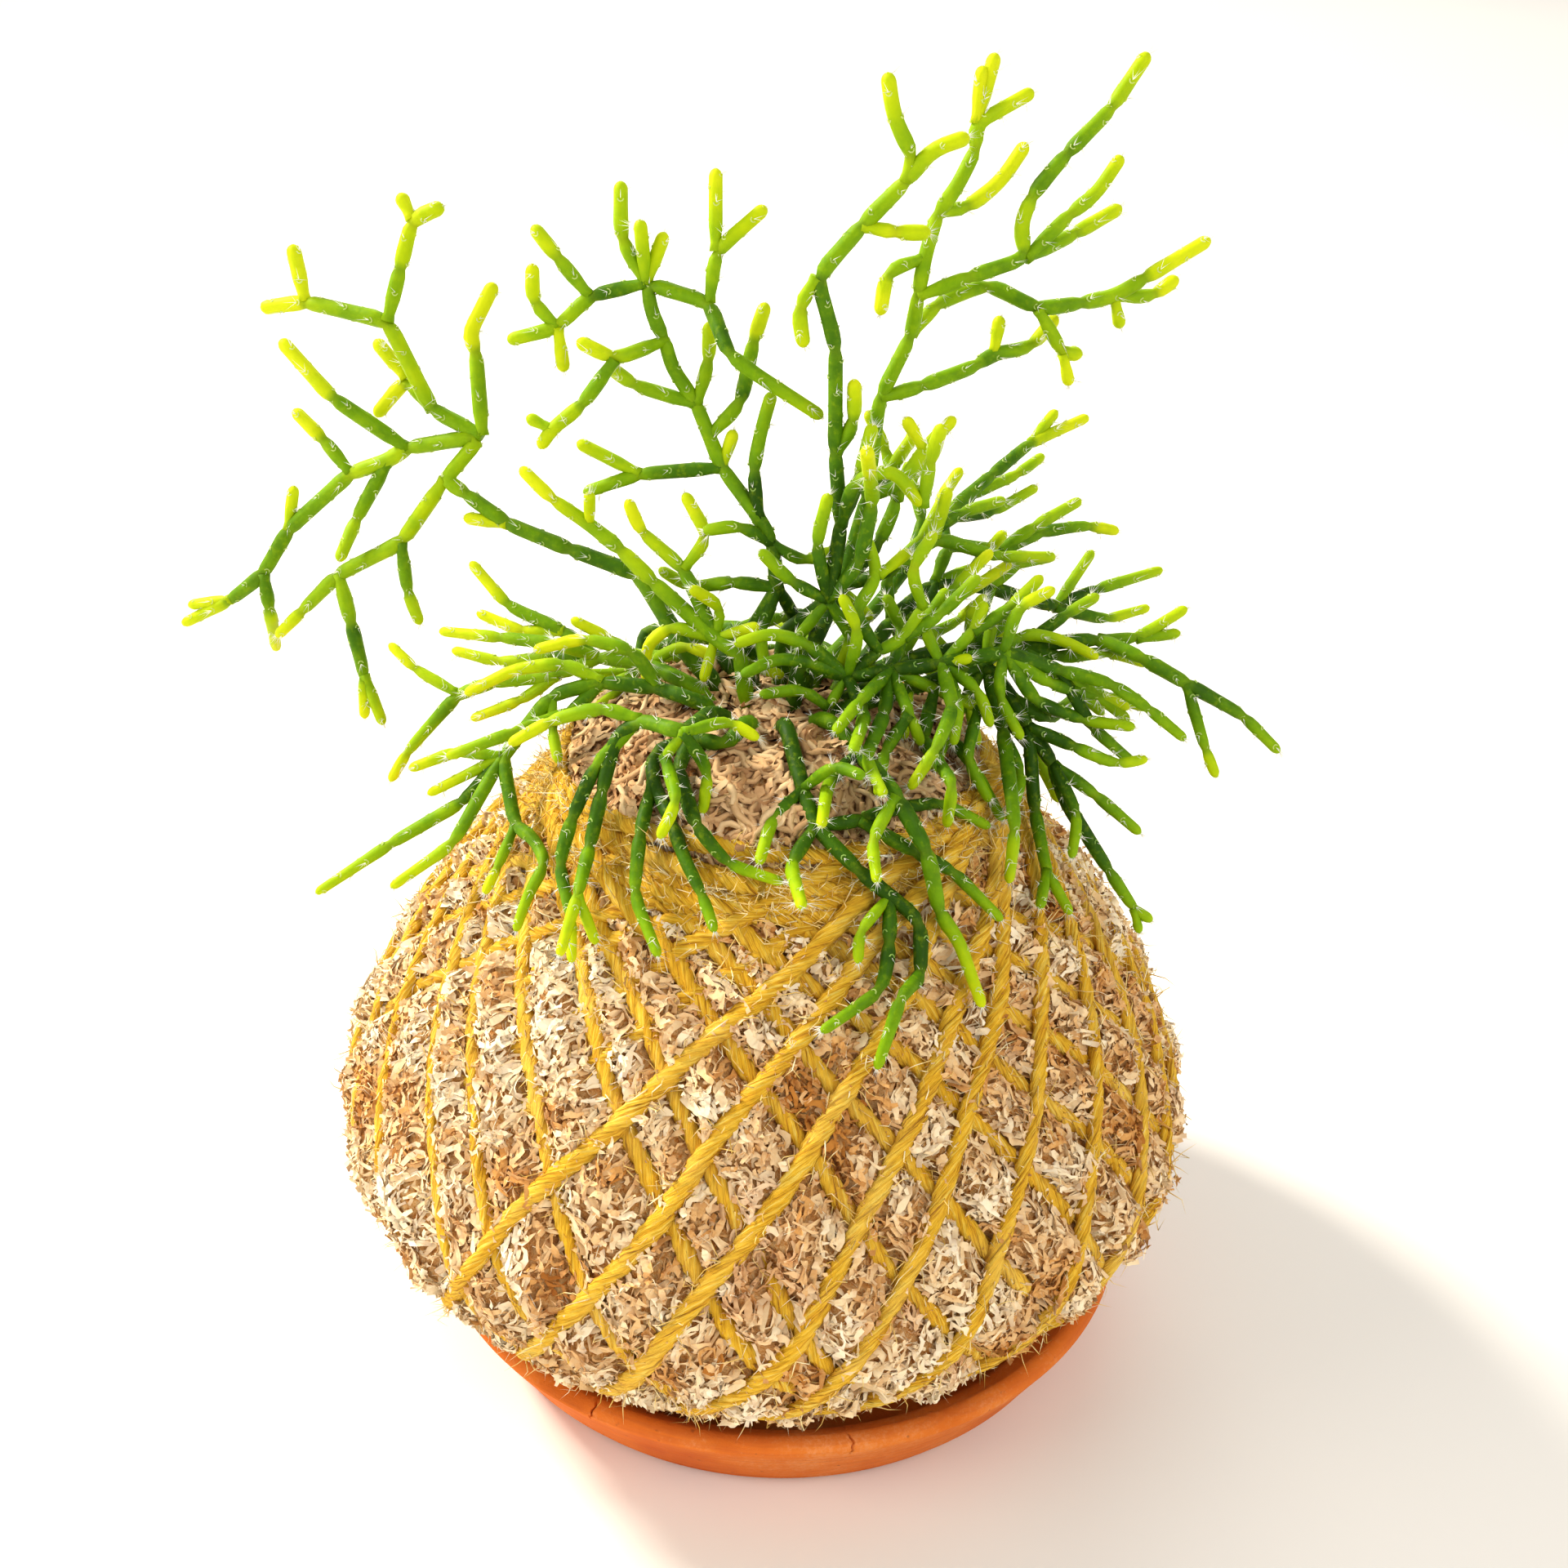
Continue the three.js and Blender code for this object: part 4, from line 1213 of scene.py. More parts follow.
middle = [
    -1, 20, -2, 27, -4, 31, [-5, 38, -4, 44, -2, 51], -10, 39, [-8, 45], [-23, 38, [-33, 43], -32, 35],
    -12, 44, [-7, 49, -5, 59, -3, 65], -14, 49, [-12, 56, -12, 62], [-24, 52, -28, 55], -18, 55, -19, 59,
    [-27, 56, [-32, 49, -37, 45, [-41, 47], -39, 42], -33, 59],
    -21, 63, -22, 68, [-31, 66, [-36, 72, -40, 77], -36, 61, [-40, 65, -40, 71], [-35, 54], -44, 59],
    [-26, 75, -26, 84], [-23, 78], [-19, 76], -12, 65, [-11, 73, [-11, 86], -3, 80], -9, 57, -5, 54, 6, 47,
]
tall = [
    7, 18, [5, 27, 7, 35], 9, 30, [12, 38, 14, 46], 8, 41, 8, 48, 8, 58, 7, 62, 5, 69, [2, 64, 3, 58],
    12, 77, [18, 76, 23, 76], 19, 84, [20, 88, 17, 94, 16, 101], 23, 89, 29, 91,
]
tallest = [
    9, 20, [17, 23, 24, 28, [26, 36], 34, 25, 43, 25], 13, 34, [17, 39, 21, 45],
    15, 50, [22, 52, 30, 55, 33, 57, [34, 63], 39, 58, 43, 63], 20, 60,
    [
        24, 65, 32, 68, 40, 64, [44, 57, [45, 52], 47, 57], 47, 65, 52, 66,
        [53, 61], [58, 66, 62, 69], 57, 69, 67, 75,
    ],
    21, 66,
    [29, 69, 38, 72, [45, 79, 49, 82, 53, 88], [46, 76, 53, 80], 37, 77, 39, 82, 44, 88, 51, 95, 57, 104],
    22, 72, [16, 70, 15, 63], 24, 79, [29, 80, 34, 84, 38, 90], 27, 83, 30, 89, 30, 93,
    [31, 102], [33, 104], 39, 98,
]
highRight = [13, 15, 20, 24, [26, 31, 30, 35, 37, 38, 41, 41], 27, 33, 33, 38, 39, 43, [43, 48], 48, 47]
crownRight = [
    17, 15, [16, 22, 22, 28, 26, 36], 24, 21, [26, 27, 34, 26, 41, 29, 48, 30, 53, 29],
    33, 20, 43, 17, [49, 26], 50, 20, 60, 23,
]
right = [
    18, 8, [22, 15, 22, 19], 30, 11, [29, 15, 32, 19], 38, 11, [45, 5, 51, 0],
    50, 12, [56, 12, [63, 13], 64, 17], 57, 9, 64, 5, [67, -5, 69, -10], 73, 0, 79, -6,
]
crownTuft = [
    10, 6, 17, 7, [20, 0, 22, -5], 25, 8, [30, 9], [31, 4, 33, -2], 35, 10, 44, 7, [50, 3, 55, -1],
    52, 5, 58, 1, 64, -4,
]
fallRight = [
    20, 4, 32, 8, [29, 3, [31, -5], 26, -3, [30, -8, 35, -17], 24, -9], [35, -3, 37, -18, 36, -27],
    36, 3, 39, -2, [40, -15, 42, -25, [41, -31], 46, -32], 43, -8, [50, -13, 57, -19],
    45, -14, 52, -25, 56, -31, [57, -35], 59, -33,
]
frontRight = [12, -6, 18, -13, 23, -22, 25, -32, 28, -36, 32, -47]
front = [
    3, -12, 5, -18, [12, -17, [21, -22, 27, -25, 35, -33], 18, -15, 25, -14, 33, -18],
    12, -25, 17, -29, [12, -35, 12, -40], [17, -37, 16, -44, 6, -51], 22, -33, 22, -42, 19, -45, 15, -57,
]
shortFront = [
    -9, -5, -15, -4,
    [-21, -6, -21, -11, [-23, -19, -24, -29, -20, -39], -18, -17, -16, -23, -13, -29, -11, -35],
    -17, -9, -14, -18, -9, -24, 0, -27,
]
frontLeft = [
    -16, -3, [-19, -7], -23, -1, [-30, -8, -34, -17, -36, -24, -34, -33, -34, -40], -27, -4, -29, -12,
    -31, -21, -33, -29, [-30, -37], -36, -39,
]
fallLeft = [
    -20, 4, -29, 5, -37, 3, -45, -7, [-57, -13], [-51, -14, -63, -21, -75, -29], [-53, -21, -63, -28],
    -43, -18, [-46, -25, -48, -29], -40, -20, -38, -24, -41, -29, -43, -35,
]
left = [
    -22, 8, -30, 9, [-35, 13, -44, 17, -50, 24], [-36, 11, -45, 12, -55, 13],
    -36, 6, -46, 5, -52, 3, [-59, 7, -63, 11], -60, -6, -63, -11,
]

# name, run, ring of its hole, the way round that ring, turn, lean, near, spin
sprays = [
    ("front", front, 1, 278, 0, 33, 8, 0),
    ("front_right", frontRight, 1, 305, 10, 33, 8, 0),
    ("front_short", shortFront, 1, 254, 0, 33, 10, 0),
    ("front_left", frontLeft, 1, 230, -8, 30, 9, 0),
    ("fall_left", fallLeft, 1, 206, -5, 28, 6, 0),
    ("fall_right", fallRight, 1, 332, 8, 30, 6, 0),
    ("left", left, 1, 180, -15, 20, 1, 0),
    ("crown_tuft", crownTuft, 0, 310, 12, 15, 9, 0),
    ("right", right, 1, 357, 8, 25, 2, 0),
    ("arch", arch, 1, 153, -16, 14, -4, 0),
    ("crown_right", crownRight, 1, 25, 25, 15, -3, 0),
    ("tall", tall, 0, 80, 0, -4, 0, 0),
    ("tallest", tallest, 0, 15, 18, 8, 3, 0),
    ("middle", middle, 0, 140, -5, 12, 1, 0),
    ("low_left", lowLeft, 0, 200, -8, 20, 5, 0),
    ("high_right", highRight, 1, 52, 30, 38, -7, 0),
    ("back", front, 1, 104, 0, 33, 8, 178),
    ("back_left", shortFront, 1, 128, 0, 33, 10, -130),
    ("back_right", frontLeft, 1, 80, -8, 30, 9, -155),
]


# A drawn point, seen from the standpoint, on the spray's own plane
def laidOut(spray, x, y):
    ahead = plant["heart"] - plant["standpoint"]
    across = np.array([1.0, 0, 0])
    up = unit(np.cross(across, ahead))
    cosRoll, sinRoll = math.cos(plant["drawnRoll"]), math.sin(plant["drawnRoll"])
    drawnX = plant["drawnScale"] * (x * cosRoll - y * sinRoll)
    drawnY = plant["drawnScale"] * (x * sinRoll + y * cosRoll)
    sight = ahead + across * drawnX + up * drawnY
    turn, lean = math.radians(spray["turn"]), math.radians(spray["lean"])
    face = np.array([math.sin(turn) * math.cos(lean), -math.cos(turn) * math.cos(lean), math.sin(lean)])
    return plant["standpoint"] + sight * (ahead @ face) / (sight @ face)


# Whether any of the points lies in the moss, among the twine or past the wall of the neck
def buried(points):
    offset = points - heartOfBall
    radius = np.hypot(offset[:, 0], offset[:, 1])
    height = offset[:, 2]
    inNeck = (radius < ball["neck"]) & (height > 0)
    lowInNeck = points[:, 2] < ball["soilTop"] + plant["soilClearance"]
    neckHit = lowInNeck & (radius > ball["neck"] - plant["neckClearance"])
    above = np.clip((points[:, 2] - plant["twineTop"]) / plant["twineFade"], 0, 1)
    clearance = plant["twineClearance"] + above * (plant["knobClearance"] - plant["twineClearance"])
    mossHit = np.hypot(radius, height) < ballReach(np.arctan2(radius, height)) + clearance
    return bool(np.where(inNeck, neckHit, mossHit).any())


# Short twigs that crowd the crown: a spray, and runs that start with the drawn point they leave
twigs = [
    ("tall", [9, 30, 11, 37, 17, 39, 22, 33, [23, 40, 25, 46]], [7, 18, 12, 24, 14, 34, 13, 42],
     [8, 41, 11, 46, 11, 53]),
    ("tallest", [9, 20, 15, 27, 18, 34, [20, 40], 16, 42, 13, 48],
     [13, 34, 19, 37, 22, 42, [19, 47], 27, 47]),
    ("high_right", [20, 24, 22, 31, 20, 37, 23, 42]),
    ("crown_right", [17, 15, 24, 17, 30, 20, 36, 24], [17, 15, 22, 12, 28, 15, 31, 18],
     [24, 21, 30, 23, 35, 29], [33, 20, 37, 24, 43, 25], [43, 17, 51, 15, 58, 17]),
    ("crown_tuft", [10, 6, 15, 10, 19, 12, 22, 17], [10, 6, 7, 1, 8, -4, 13, -9], [17, 7, 24, 4, 31, 1],
     [25, 8, 30, 13, 32, 18], [35, 10, 42, 5, 50, 3, 55, 1], [35, 10, 40, 2, 48, -1, 56, -2],
     [44, 7, 49, -2, 56, -8]),
    ("fall_right", [32, 8, 38, 13, 44, 12, 50, 9], [36, 3, 42, -1, 49, 5],
     [39, -2, 46, -5, 53, -8, 58, -7]),
    ("right", [30, 11, 36, 15, 40, 20], [38, 11, 45, 16, 50, 19]),
    ("left", [-30, 9, -37, 9, -45, 8, -53, 10], [-22, 8, -28, 12, -34, 15], [-22, 8, -27, 3, -31, 0]),
    ("fall_left", [-37, 3, -37, -3, -36, -8], [-29, 5, -34, 0, -43, -3, -54, -7]),
    ("low_left", [-11, 12, -18, 14, -22, 11, -22, 5, -20, 1], [-11, 12, -10, 17, -15, 20]),
    ("middle", [-1, 20, -8, 21, -15, 20, -20, 23], [-2, 27, -7, 30, -13, 29]),
    ("back", [3, -12, -4, -14, -9, -22, [-16, -24], -7, -31], [5, -18, 9, -26, 8, -34]),
    ("back_left", [-15, -4, -22, 0, -30, -2, [-36, 3], -38, -8], [-9, -5, -8, -12, -4, -19]),
    ("back_right", [-23, -1, -27, 6, -35, 7, [-41, 12], -43, 3], [-27, -4, -25, -11, -20, -17]),
    ("crown_tuft", [7, 1, 2, -5, -1, -11], [10, 6, 4, 11, -2, 13, -8, 11],
     [17, 7, 16, 0, 13, -7, 16, -13], [24, 4, 22, -4, 27, -11, 26, -18], [25, 8, 28, 2, 27, -5],
     [31, 1, 29, -7, 33, -14, 31, -21],
     [20, 0, 16, -6, 15, -13], [30, 13, 36, 17, 41, 22], [15, 10, 11, 16, 15, 22, [20, 26], 13, 28],
     [19, 12, 25, 16, 31, 22], [22, 17, 20, 23, 24, 29]),
    ("fall_right", [20, 4, 19, -4, 23, -10, 22, -17], [29, 3, 35, 0, 40, -6, 44, -14],
     [35, -3, 38, -10, 36, -17], [31, -5, 28, -12, 30, -20, 27, -27], [43, -8, 47, -16, 46, -23],
     [26, -3, 21, -8, 19, -16]),
    ("front_right", [12, -6, 7, -11, 6, -18], [12, -6, 19, -7, 26, -9, 32, -14],
     [18, -13, 14, -20, 15, -27]),
    ("front", [5, -18, 1, -24, 3, -31], [3, -12, -2, -17, -4, -24]),
    ("front_left", [-16, -3, -12, -9, -13, -16], [-19, -7, -17, -14, -20, -20],
     [-23, -1, -29, 1, -37, -1, -44, -5]),
    ("fall_left", [-20, 4, -24, 10, -32, 12, -40, 10], [-29, 5, -35, 8, -43, 7, -51, 3],
     [-45, -7, -52, -6, -60, -9]),
    ("left", [-35, 13, -42, 13, -49, 16], [-36, 6, -42, 2, -50, -1]),
    ("right", [22, 15, 27, 20, 33, 26], [38, 11, 44, 9, 52, 10, 58, 8], [45, 5, 51, 3, 58, 1]),
    ("crown_right", [22, 28, 28, 32, 35, 34], [34, 26, 40, 30, 47, 34]),
    ("high_right", [26, 31, 33, 32, 40, 36]),
    ("low_left", [-16, 23, -12, 28, -16, 35]),
    ("tall", [7, 18, 11, 12, 8, 6]),
    ("low_left", [-11, 12, -6, 8, 0, 6]),
    ("middle", [-1, 20, -4, 13, -3, 7], [-1, 20, 3, 13, 2, 8]),
    ("crown_right", [17, 15, 14, 9, 9, 5]),
    ("crown_tuft", [7, 1, 3, 4, -4, 3]),
    ("crown_right", [26, 27, 24, 33, 28, 39]),
    ("fall_right", [32, 8, 33, 15, 39, 19]),
    ("tallest", [9, 20, 14, 15, 19, 10]),
    ("tall", [7, 18, 2, 12, 4, 5], [7, 18, 1, 21, -4, 26]),
    ("crown_tuft", [10, 6, 13, 0, 11, -6], [10, 6, 5, 8, -1, 9, -7, 6], [10, 6, 12, 13, 9, 19],
     [17, 7, 19, 13, 16, 19], [17, 7, 12, 2, 8, -3], [25, 8, 22, 14, 26, 20],
     [25, 8, 27, 1, 24, -6, 20, -12], [35, 10, 34, 3, 38, -4], [35, 10, 37, 17, 43, 20]),
    ("crown_right", [17, 15, 20, 9, 26, 5], [24, 21, 22, 14, 27, 9], [33, 20, 30, 13, 34, 7]),
    ("front_left", [-16, -3, -9, -1, -4, -4]),
    ("front_short", [-9, -5, -13, 1, -18, 5]),
    ("low_left", [-11, 12, -13, 5, -12, -1], [-11, 12, -4, 14, 2, 12]),
    ("left", [-22, 8, -16, 11, -11, 9]),
    ("middle", [-2, 27, 3, 24, 8, 26]),
    ("front", [3, -12, 8, -8, 13, -10]),
    ("front_right", [12, -6, 15, 0, 20, -3]),
]
# What is laid so far: stretches of stem with their spray's name, and joints that twigs may leave
laid = {"names": [], "starts": [], "ends": [], "joints": []}


def lay(name, start, end):
    laid["names"].append(name)
    laid["starts"].append(start)
    laid["ends"].append(end)


# The least gap between one stretch of stem and each of many
def segmentGaps(start, end, starts, ends):
    u = end - start
    v = ends - starts
    w = start - starts
    uu, uv, vv = u @ u, v @ u, (v * v).sum(1)
    uw, vw = w @ u, (w * v).sum(1)
    det = uu * vv - uv * uv
    s = np.where(det > 1e-9, np.clip((uv * vw - vv * uw) / np.maximum(det, 1e-9), 0, 1), 0)
    t = np.clip((uv * s + vw) / vv, 0, 1)
    s = np.clip((uv * t - uw) / uu, 0, 1)
    t = np.clip((uv * s + vw) / vv, 0, 1)
    return np.linalg.norm(w + s[:, None] * u - t[:, None] * v, axis=1)


# Clear of every other spray, and with own also of this spray's stretches that it doesn't join
def isClear(name, start, end, own, clearance):
    names = np.array(laid["names"])
    starts, ends = np.array(laid["starts"]), np.array(laid["ends"])
    fromStart, fromEnd = (np.linalg.norm(side - start, axis=1) for side in (starts, ends))
    joined = np.minimum(fromStart, fromEnd) < plant["sameEnd"]
    skipped = (names == name) & (joined if own else True)
    return bool((skipped | (segmentGaps(start, end, starts, ends) > clearance)).all())


# Turned round the ball's axis: sprays at the back are drawn at the front
def spun(point, degrees):
    a = math.radians(degrees)
    x, y = point[0] - ball["axis"][0], point[1] - ball["axis"][1]
    return np.array([
        ball["axis"][0] + x * math.cos(a) - y * math.sin(a),
        ball["axis"][1] + x * math.sin(a) + y * math.cos(a),
        point[2],
    ])


# Where a joint may go: as drawn, lifted off the moss, and bent nearer or further.
def jointChoice(start, drawn, shift, bend):
    toEye = unit(plant["standpoint"] - drawn)
    end = drawn + toEye * shift

    def lifted(end):
        for n in range(plant["mostLifts"]):
            if not buried(start + (end - start) * plant["tested"]):
                break
            end = end + toEye
        return end

    return lifted(lifted(end) + toEye * bend)


# Lays a run joint by joint. A joint with no clear place at all ends its run.
def grow(spray, run, start, depth, chains, forked):
    points = [start]
    shift = depth
    i = 0
    while i < len(run):
        if isinstance(run[i], list):
            grow(spray, run[i], points[-1], shift, chains, True)
            i += 1
            continue
        drawn = laidOut(spray, run[i], run[i + 1])
        i += 2
        here = spun(points[-1], spray["spin"])
        choice = None
        fallback = None
        for bend in plant["bends"]:
            end = jointChoice(points[-1], drawn, shift, bend)
            there = spun(end, spray["spin"])
            if isClear(spray["name"], here, there, True, spray["clearance"]):
                choice = (end, there, bend)
                break
            if fallback is None and isClear(spray["name"], here, there, False, spray["clearance"]):
                fallback = (end, there, bend)
        choice = choice or fallback
        if choice is None:
            break
        end, there, bend = choice
        shift += bend
        points.append(end)
        lay(spray["name"], here, there)
        laid["joints"].append((spray["name"], np.array(run[i - 2:i]), end, shift))
    if len(points) > 1:
        chains.append(([spun(p, spray["spin"]) for p in points], forked))


# A spray stands in its hole, leaves by the mouth and the lead, and then follows its run.
def sprayChains(spray):
    ring = plant["holeRings"][spray["ring"]]
    way = math.radians(spray["way"])
    foot = ball["axis"] + turned(ring, way, ball["soilTop"] - plant["rootDepth"] + plant["gap"])
    mouth = ball["axis"] + turned(ring, way, ball["soilTop"] + plant["mouthRise"])
    outward, upward = plant["holeLead"][spray["ring"]]
    lead = mouth + turned(outward, way, upward)
    lay(spray["name"], foot, mouth)
    lay(spray["name"], mouth, lead)
    chains = []
    grow(spray, spray["run"], spun(lead, -spray["spin"]), spray["near"], chains, False)
    return [(points if forked else [foot, mouth, *points], forked) for points, forked in chains]


# A chain of joints as a smooth path in equal steps, with the places of its joints along it.
def easedPath(points):
    points = np.array(points)
    made = [points[0]]
    for before, here, after in zip(points[:-2], points[1:-1], points[2:]):
        cutBefore, cutAfter = np.linalg.norm(here - before), np.linalg.norm(after - here)
        cut = min(plantFinish["corner"], plantFinish["cornerShare"] * min(cutBefore, cutAfter))
        a = here + (before - here) * cut / cutBefore
        b = here + (after - here) * cut / cutAfter
        for t in np.linspace(0, 1, plantFinish["cornerSteps"]):
            made.append((1 - t) ** 2 * a + 2 * t * (1 - t) * here + t * t * b)
    made.append(points[-1])
    made = np.array(made)
    lengths = np.concatenate([[0], np.linalg.norm(np.diff(made, axis=0), axis=1).cumsum()])
    ends = plantFinish["endSteps"]
    count = max(plantFinish["fewestSteps"], int(round(lengths[-1] / plantFinish["step"])))
    at = np.linspace(0, lengths[-1] - ends[0], count)
    at = np.concatenate([at, [lengths[-1] - left for left in ends[1:]]])
    path = np.stack([np.interp(at, lengths, made[:, k]) for k in range(3)], axis=1)
    joints = []
    for point in points[1:-1]:
        place = at[np.linalg.norm(path - point, axis=1).argmin()]
        if not joints or place - joints[-1] > plantFinish["jointGap"]:
            joints.append(place)
    return path, at, joints


# The directions along a path and two across it that don't twist
def tubeFrame(path):
    along = unit(np.gradient(path, axis=0))
    side = np.array([0.31, 0.87, 0.38])
    sides = []
    for direction in along:
        side = unit(side - direction * (side @ direction))
        sides.append(side)
    sides = np.array(sides)
    return along, sides, np.cross(along, sides)


def bump(away, length):
    return np.exp(-(away / length) ** 2)


def swollen(radius, away, swells):
    for share, past, length in swells:
        radius = radius * (1 + share * bump(away - past, length))
    return radius


def stemRadius(at, joints, forked, high):
    look = plantFinish
    first = look["forkRadius"] if forked else look["radius"]
    radius = first + (look["tipRadius"] - first) * np.clip(at / look["farReach"], 0, 1)
    taper = look["taper"] * (1 - look["highTaper"] * high)
    radius = radius * (1 - taper * np.clip(1 - (at[-1] - at) / look["taperLength"], 0, 1))
    for joint in joints:
        radius = swollen(radius, at - joint, look["jointSwells"])
    if forked:
        radius = swollen(radius, at, look["forkSwells"])
    left = np.clip((at[-1] - at) / look["roundEnd"], 0.0, 1)
    return radius * np.maximum(np.sqrt(1 - (1 - left) ** 2), look["leastEnd"])


# mark: how young the stem is, with painted sunlight added high up, far out and on the left-hand sprays,
# how near a joint, shade of its own joint
def addStem(shape, chain, random, sprayYoungAndSunlit, hairy=0.0, girth=1.0):
    look = plantFinish
    points, forked = chain
    path, at, joints = easedPath(points)
    along, side, other = tubeFrame(path)
    high = np.clip((path[:, 2] - plant["heart"][2]) / look["highUp"], 0, 1)
    radius = girth * stemRadius(at, joints, forked, high)
    ring = circled(roundCircle(look["sides"]), side, other)
    rings = path[:, None, :] + ring * radius[:, None, None]
    away = np.clip(np.linalg.norm(path - plant["heart"], axis=1) / look["farAway"], 0, 1)
    last = joints[-1] if joints else 0
    # Paler far out and high up: painted sunlight, and far out also younger growth.
    youngAndSunlit = look["youngAndSunlitAway"] * away + look["sunlitHigh"] * high
    youngAndSunlit = youngAndSunlit + look["youngLast"] * smoothStep(at, last - 0.5, last + 0.5)
    youngAndSunlit = youngAndSunlit + look["youngTip"] * np.clip(1 - (at[-1] - at) / look["tipLength"], 0, 1)
    youngAndSunlit = np.clip(youngAndSunlit + sprayYoungAndSunlit, 0, 1)
    nearJoint = np.zeros(len(at))
    for joint in joints:
        nearJoint = np.maximum(nearJoint, bump(at - joint, look["jointMark"]))
    shades = random.uniform(0, 1, len(joints) + 1)
    marks = np.zeros(rings.shape)
    marks[..., 0] = youngAndSunlit[:, None]
    marks[..., 1] = nearJoint[:, None]
    marks[..., 2] = shades[np.searchsorted(joints, at)][:, None]
    shape.add(rings, sleeveFaces(rings[None]), marks)
    start = look["bareFork"] if forked else look["bareRoot"]
    addAreoles(shape, path, at, radius, along, side, other, youngAndSunlit, start, random, hairy)


# Areoles in a spiral round the stem, each with a few bristles, and a tuft of bristles at the tip
def addAreoles(shape, path, at, radius, along, side, other, youngAndSunlit, start, random, hairy):
    look = plantFinish
    places = np.arange(start, at[-1] - look["bareTip"], look["areoleSpacing"])
    if not len(places):
        return
    places = places + random.normal(0, look["areoleStray"], len(places))
    places = np.clip(places, 0, at[-1] - 0.5)
    index = np.searchsorted(at, places).clip(0, len(at) - 1)
    turn = goldenAngle * np.arange(len(places)) + random.uniform(0, 6)
    out = unit(np.cos(turn)[:, None] * side[index] + np.sin(turn)[:, None] * other[index])
    centre = path[index] + out * radius[index, None]
    forward = along[index]
    sideways = np.cross(forward, out)
    arc = np.radians(np.linspace(-look["areoleArc"], look["areoleArc"], 5))[:, None]

    # a crescent that lies on the stem and opens towards the tip
    def lip(share, lift):
        reach = look["areole"] * share
        back = np.cos(arc) * look["areoleLong"] * forward[:, None]
        over = reach * (np.sin(arc) * sideways[:, None] - back)
        inward = out[:, None] * (reach ** 2 * np.sin(arc) ** 2 / (2 * radius[index, None, None]))
        return centre[:, None] + over - inward + out[:, None] * lift

    points = np.concatenate([lip(*each) for each in look["areoleLips"]], axis=1)
    top = centre + out * look["areoleTop"]
    base = 15 * np.arange(len(places))[:, None]
    corners = np.array([0, 1, 6, 5])
    strips = [base + row + k + corners for row in (0, 5) for k in range(4)]
    # Areoles are paler on young stems and where the stem carries painted sunlight.
    shade = look["areolePale"] * youngAndSunlit[index]
    marks = np.repeat(np.stack([shade] * 3, axis=1), 15, axis=0)
    shape.add(points, [np.stack(strips, axis=1)], marks, 1)
    each = np.repeat(np.arange(len(places)), look["bristlesEach"])
    few, more = look["bristleShare"]
    each = each[random.uniform(0, 1, len(each)) < few + more * youngAndSunlit[index][each] + hairy]
    lean = random.uniform(*look["bristleLean"], (len(each), 1))
    stray = random.normal(0, look["bristleStray"], (len(each), 3))
    headings = unit(out[each] + forward[each] * lean + stray)
    short, longer = look["bristleYoung"]
    lengths = random.uniform(*look["bristleLengths"], len(each))
    lengths = lengths * (short + longer * youngAndSunlit[index][each])
    roots = top[each] - out[each] * look["bristleSunk"]
    bristles(shape, roots, headings, lengths, look["bristle"], 1)
    tuft = look["tuft"]
    headings = unit(along[-1] + random.normal(0, look["tuftStray"], (tuft, 3)))
    roots = np.repeat(path[-1:], tuft, axis=0) - along[-1] * look["tuftSunk"]
    lengths = random.uniform(*look["tuftLengths"], tuft)
    bristles(shape, roots, headings, lengths, look["bristle"], 1)


def stemFinish():
    f = Finish("stem")
    youngAndSunlit, joint, own = f.parts(f.mark())
    place = f.place()
    broad = f.noise(place, 5.0, 4.0, 0.6)
    fine = f.noise(place, 1.1, 4.0, 0.6)
    # The green grows paler with youth and with painted sunlight high up, far out and on the left-hand
    # sprays.
    green = f.ramp(youngAndSunlit + (broad - 0.5) * 0.6 + (own - 0.5) * 0.36, [
        (0.0, 40, 74, 4), (0.18, 64, 106, 4), (0.4, 108, 150, 2),
        (0.62, 142, 176, 4), (0.82, 176, 198, 2), (1.0, 204, 214, 12),
    ])
    mottled = f.mix(f.span(fine, 0.5, 0.72) * 0.2, green, paint(170, 196, 10))
    colour = f.mix(joint * 0.4, mottled, paint(96, 122, 16))
    rough = 0.44 + fine * 0.2
    constants = {
        "Subsurface Weight": 0.12, "Subsurface Radius": (1.0, 1.0, 0.2), "Subsurface Scale": 0.002,
        "Specular IOR Level": 0.1,
    }
    return f.surface(colour, rough, fine + broad * 0.5, 0.12, 0.6, constants)


# mark: how pale the areole or bristle is
def bristleFinish():
    f = Finish("bristles")
    pale = f.parts(f.mark())[0]
    fine = f.noise(f.place(), 0.6, 2.0)
    colour = f.ramp(pale + (fine - 0.5) * 0.1, [
        (0.0, 120, 158, 66), (0.5, 206, 222, 120), (0.95, 248, 248, 236),
    ])
    return f.surface(colour, 0.6, None, constants={"Specular IOR Level": 0.3})


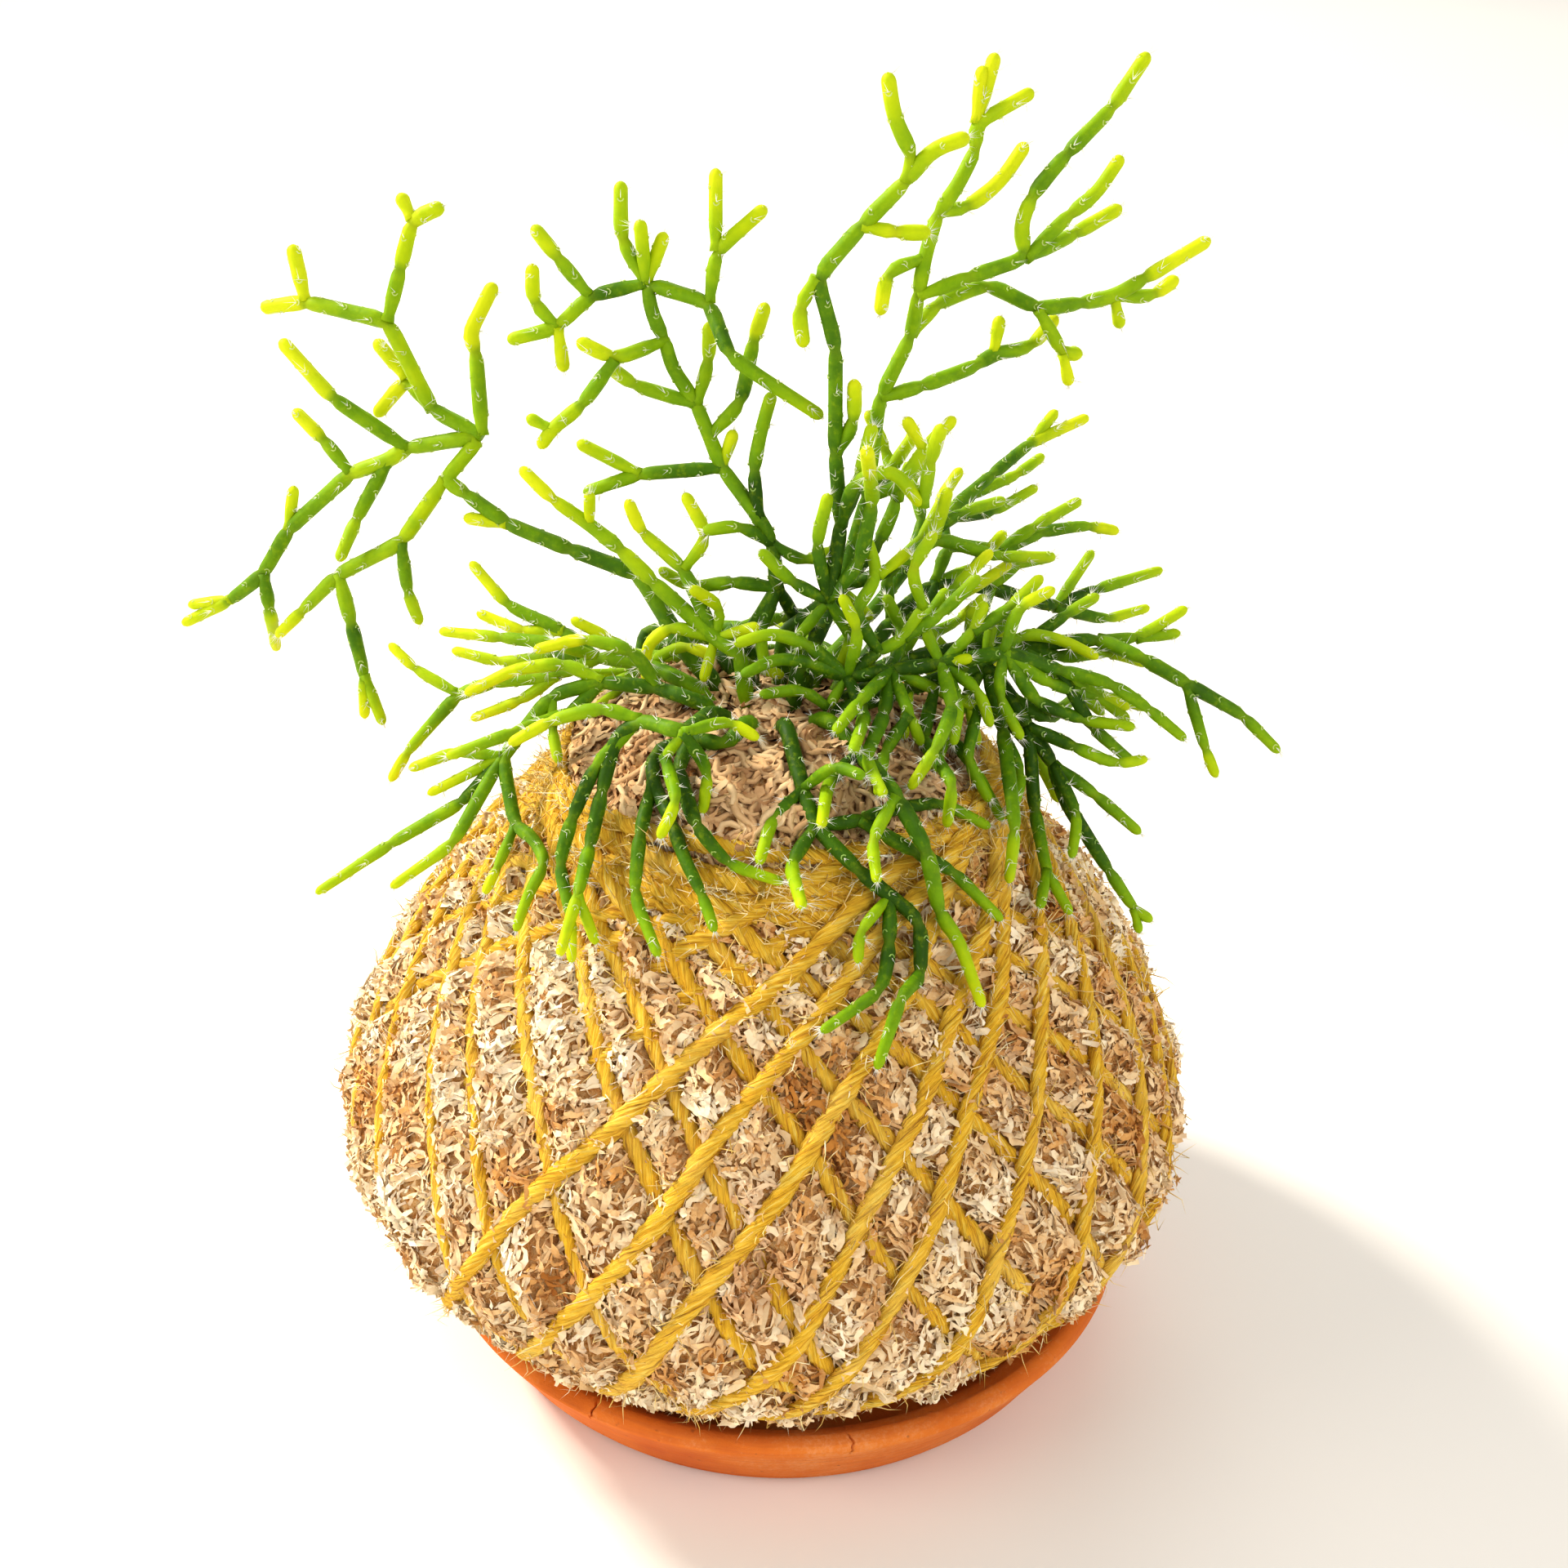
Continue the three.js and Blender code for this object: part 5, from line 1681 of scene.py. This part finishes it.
def addPlant():
    finishes = [stemFinish(), bristleFinish()]
    keys = ("name", "run", "ring", "way", "turn", "lean", "near", "spin")
    hosts = {}
    for number, row in enumerate(sprays):
        spray = dict(zip(keys, row), clearance=plant["stemClearance"])
        hosts[spray["name"]] = spray
        random = np.random.default_rng(100 + number)
        shape = Shape()
        for chain in sprayChains(spray):
            youngAndSunlit = plantFinish["youngAndSunlit"].get(spray["name"], 0.0)
            youngAndSunlit += random.uniform(*plantFinish["youngStray"])
            addStem(shape, chain, random, youngAndSunlit, girth=plantFinish["girth"].get(spray["name"], 1.0))
        shape.piece("plant_" + spray["name"], finishes, "stem", ["spray_" + spray["name"]])
    addTwigs(hosts, finishes)


def addTwigs(hosts, finishes):
    shape = Shape()
    random = np.random.default_rng(77)
    for name, *runs in twigs:
        host = dict(hosts[name], clearance=plant["twigClearance"])
        for x, y, *run in runs:
            joints = [joint for joint in laid["joints"] if joint[0] == name]
            nearest = min(joints, key=lambda joint: np.linalg.norm(joint[1] - (x, y)))
            chains = []
            grow(host, run, nearest[2], nearest[3], chains, True)
            for chain in chains:
                youngAndSunlit = plantFinish["youngAndSunlit"].get(name, 0.0)
                youngAndSunlit += random.uniform(*plantFinish["twigStray"])
                addStem(shape, chain, random, youngAndSunlit, hairy=plantFinish["twigHair"])
    shape.piece("plant_twigs", finishes, "stem")


def addFloor():
    half = studio["floor"] / 2
    mesh = bpy.data.meshes.new("floor")
    corners = [(-half, -half, 0), (half, -half, 0), (half, half, 0), (-half, half, 0)]
    mesh.from_pydata(corners, [], [(0, 1, 2, 3)])
    mesh.materials.append(Finish("floor").surface(paint(*studio["floorColour"]), 0.9))
    made = bpy.data.objects.new("floor", mesh)
    bpy.context.scene.collection.objects.link(made)


def addWorld():
    world = bpy.data.worlds.new("studio")
    world.use_nodes = True
    background = world.node_tree.nodes["Background"]
    background.inputs["Color"].default_value = (*studio["worldColour"], 1)
    background.inputs["Strength"].default_value = studio["worldStrength"]
    bpy.context.scene.world = world
    bpy.context.scene.view_settings.view_transform = "Standard"
    bpy.context.scene.view_settings.exposure = studio["exposure"]


addCamera()
addFloor()
addWorld()
for name, settings in studio["lights"].items():
    addLight(name, *settings)
print("stage: camera, floor and lights")
addSaucer()
addSoil()
addMossBed()
looseFinish = shavingFinish()
addLooseMoss(looseFinish)
addMossFluff(looseFinish)
addKnobStrands()
addTwine()
addPlant()
print("laid:", len(laid["names"]), "stretches of stem")
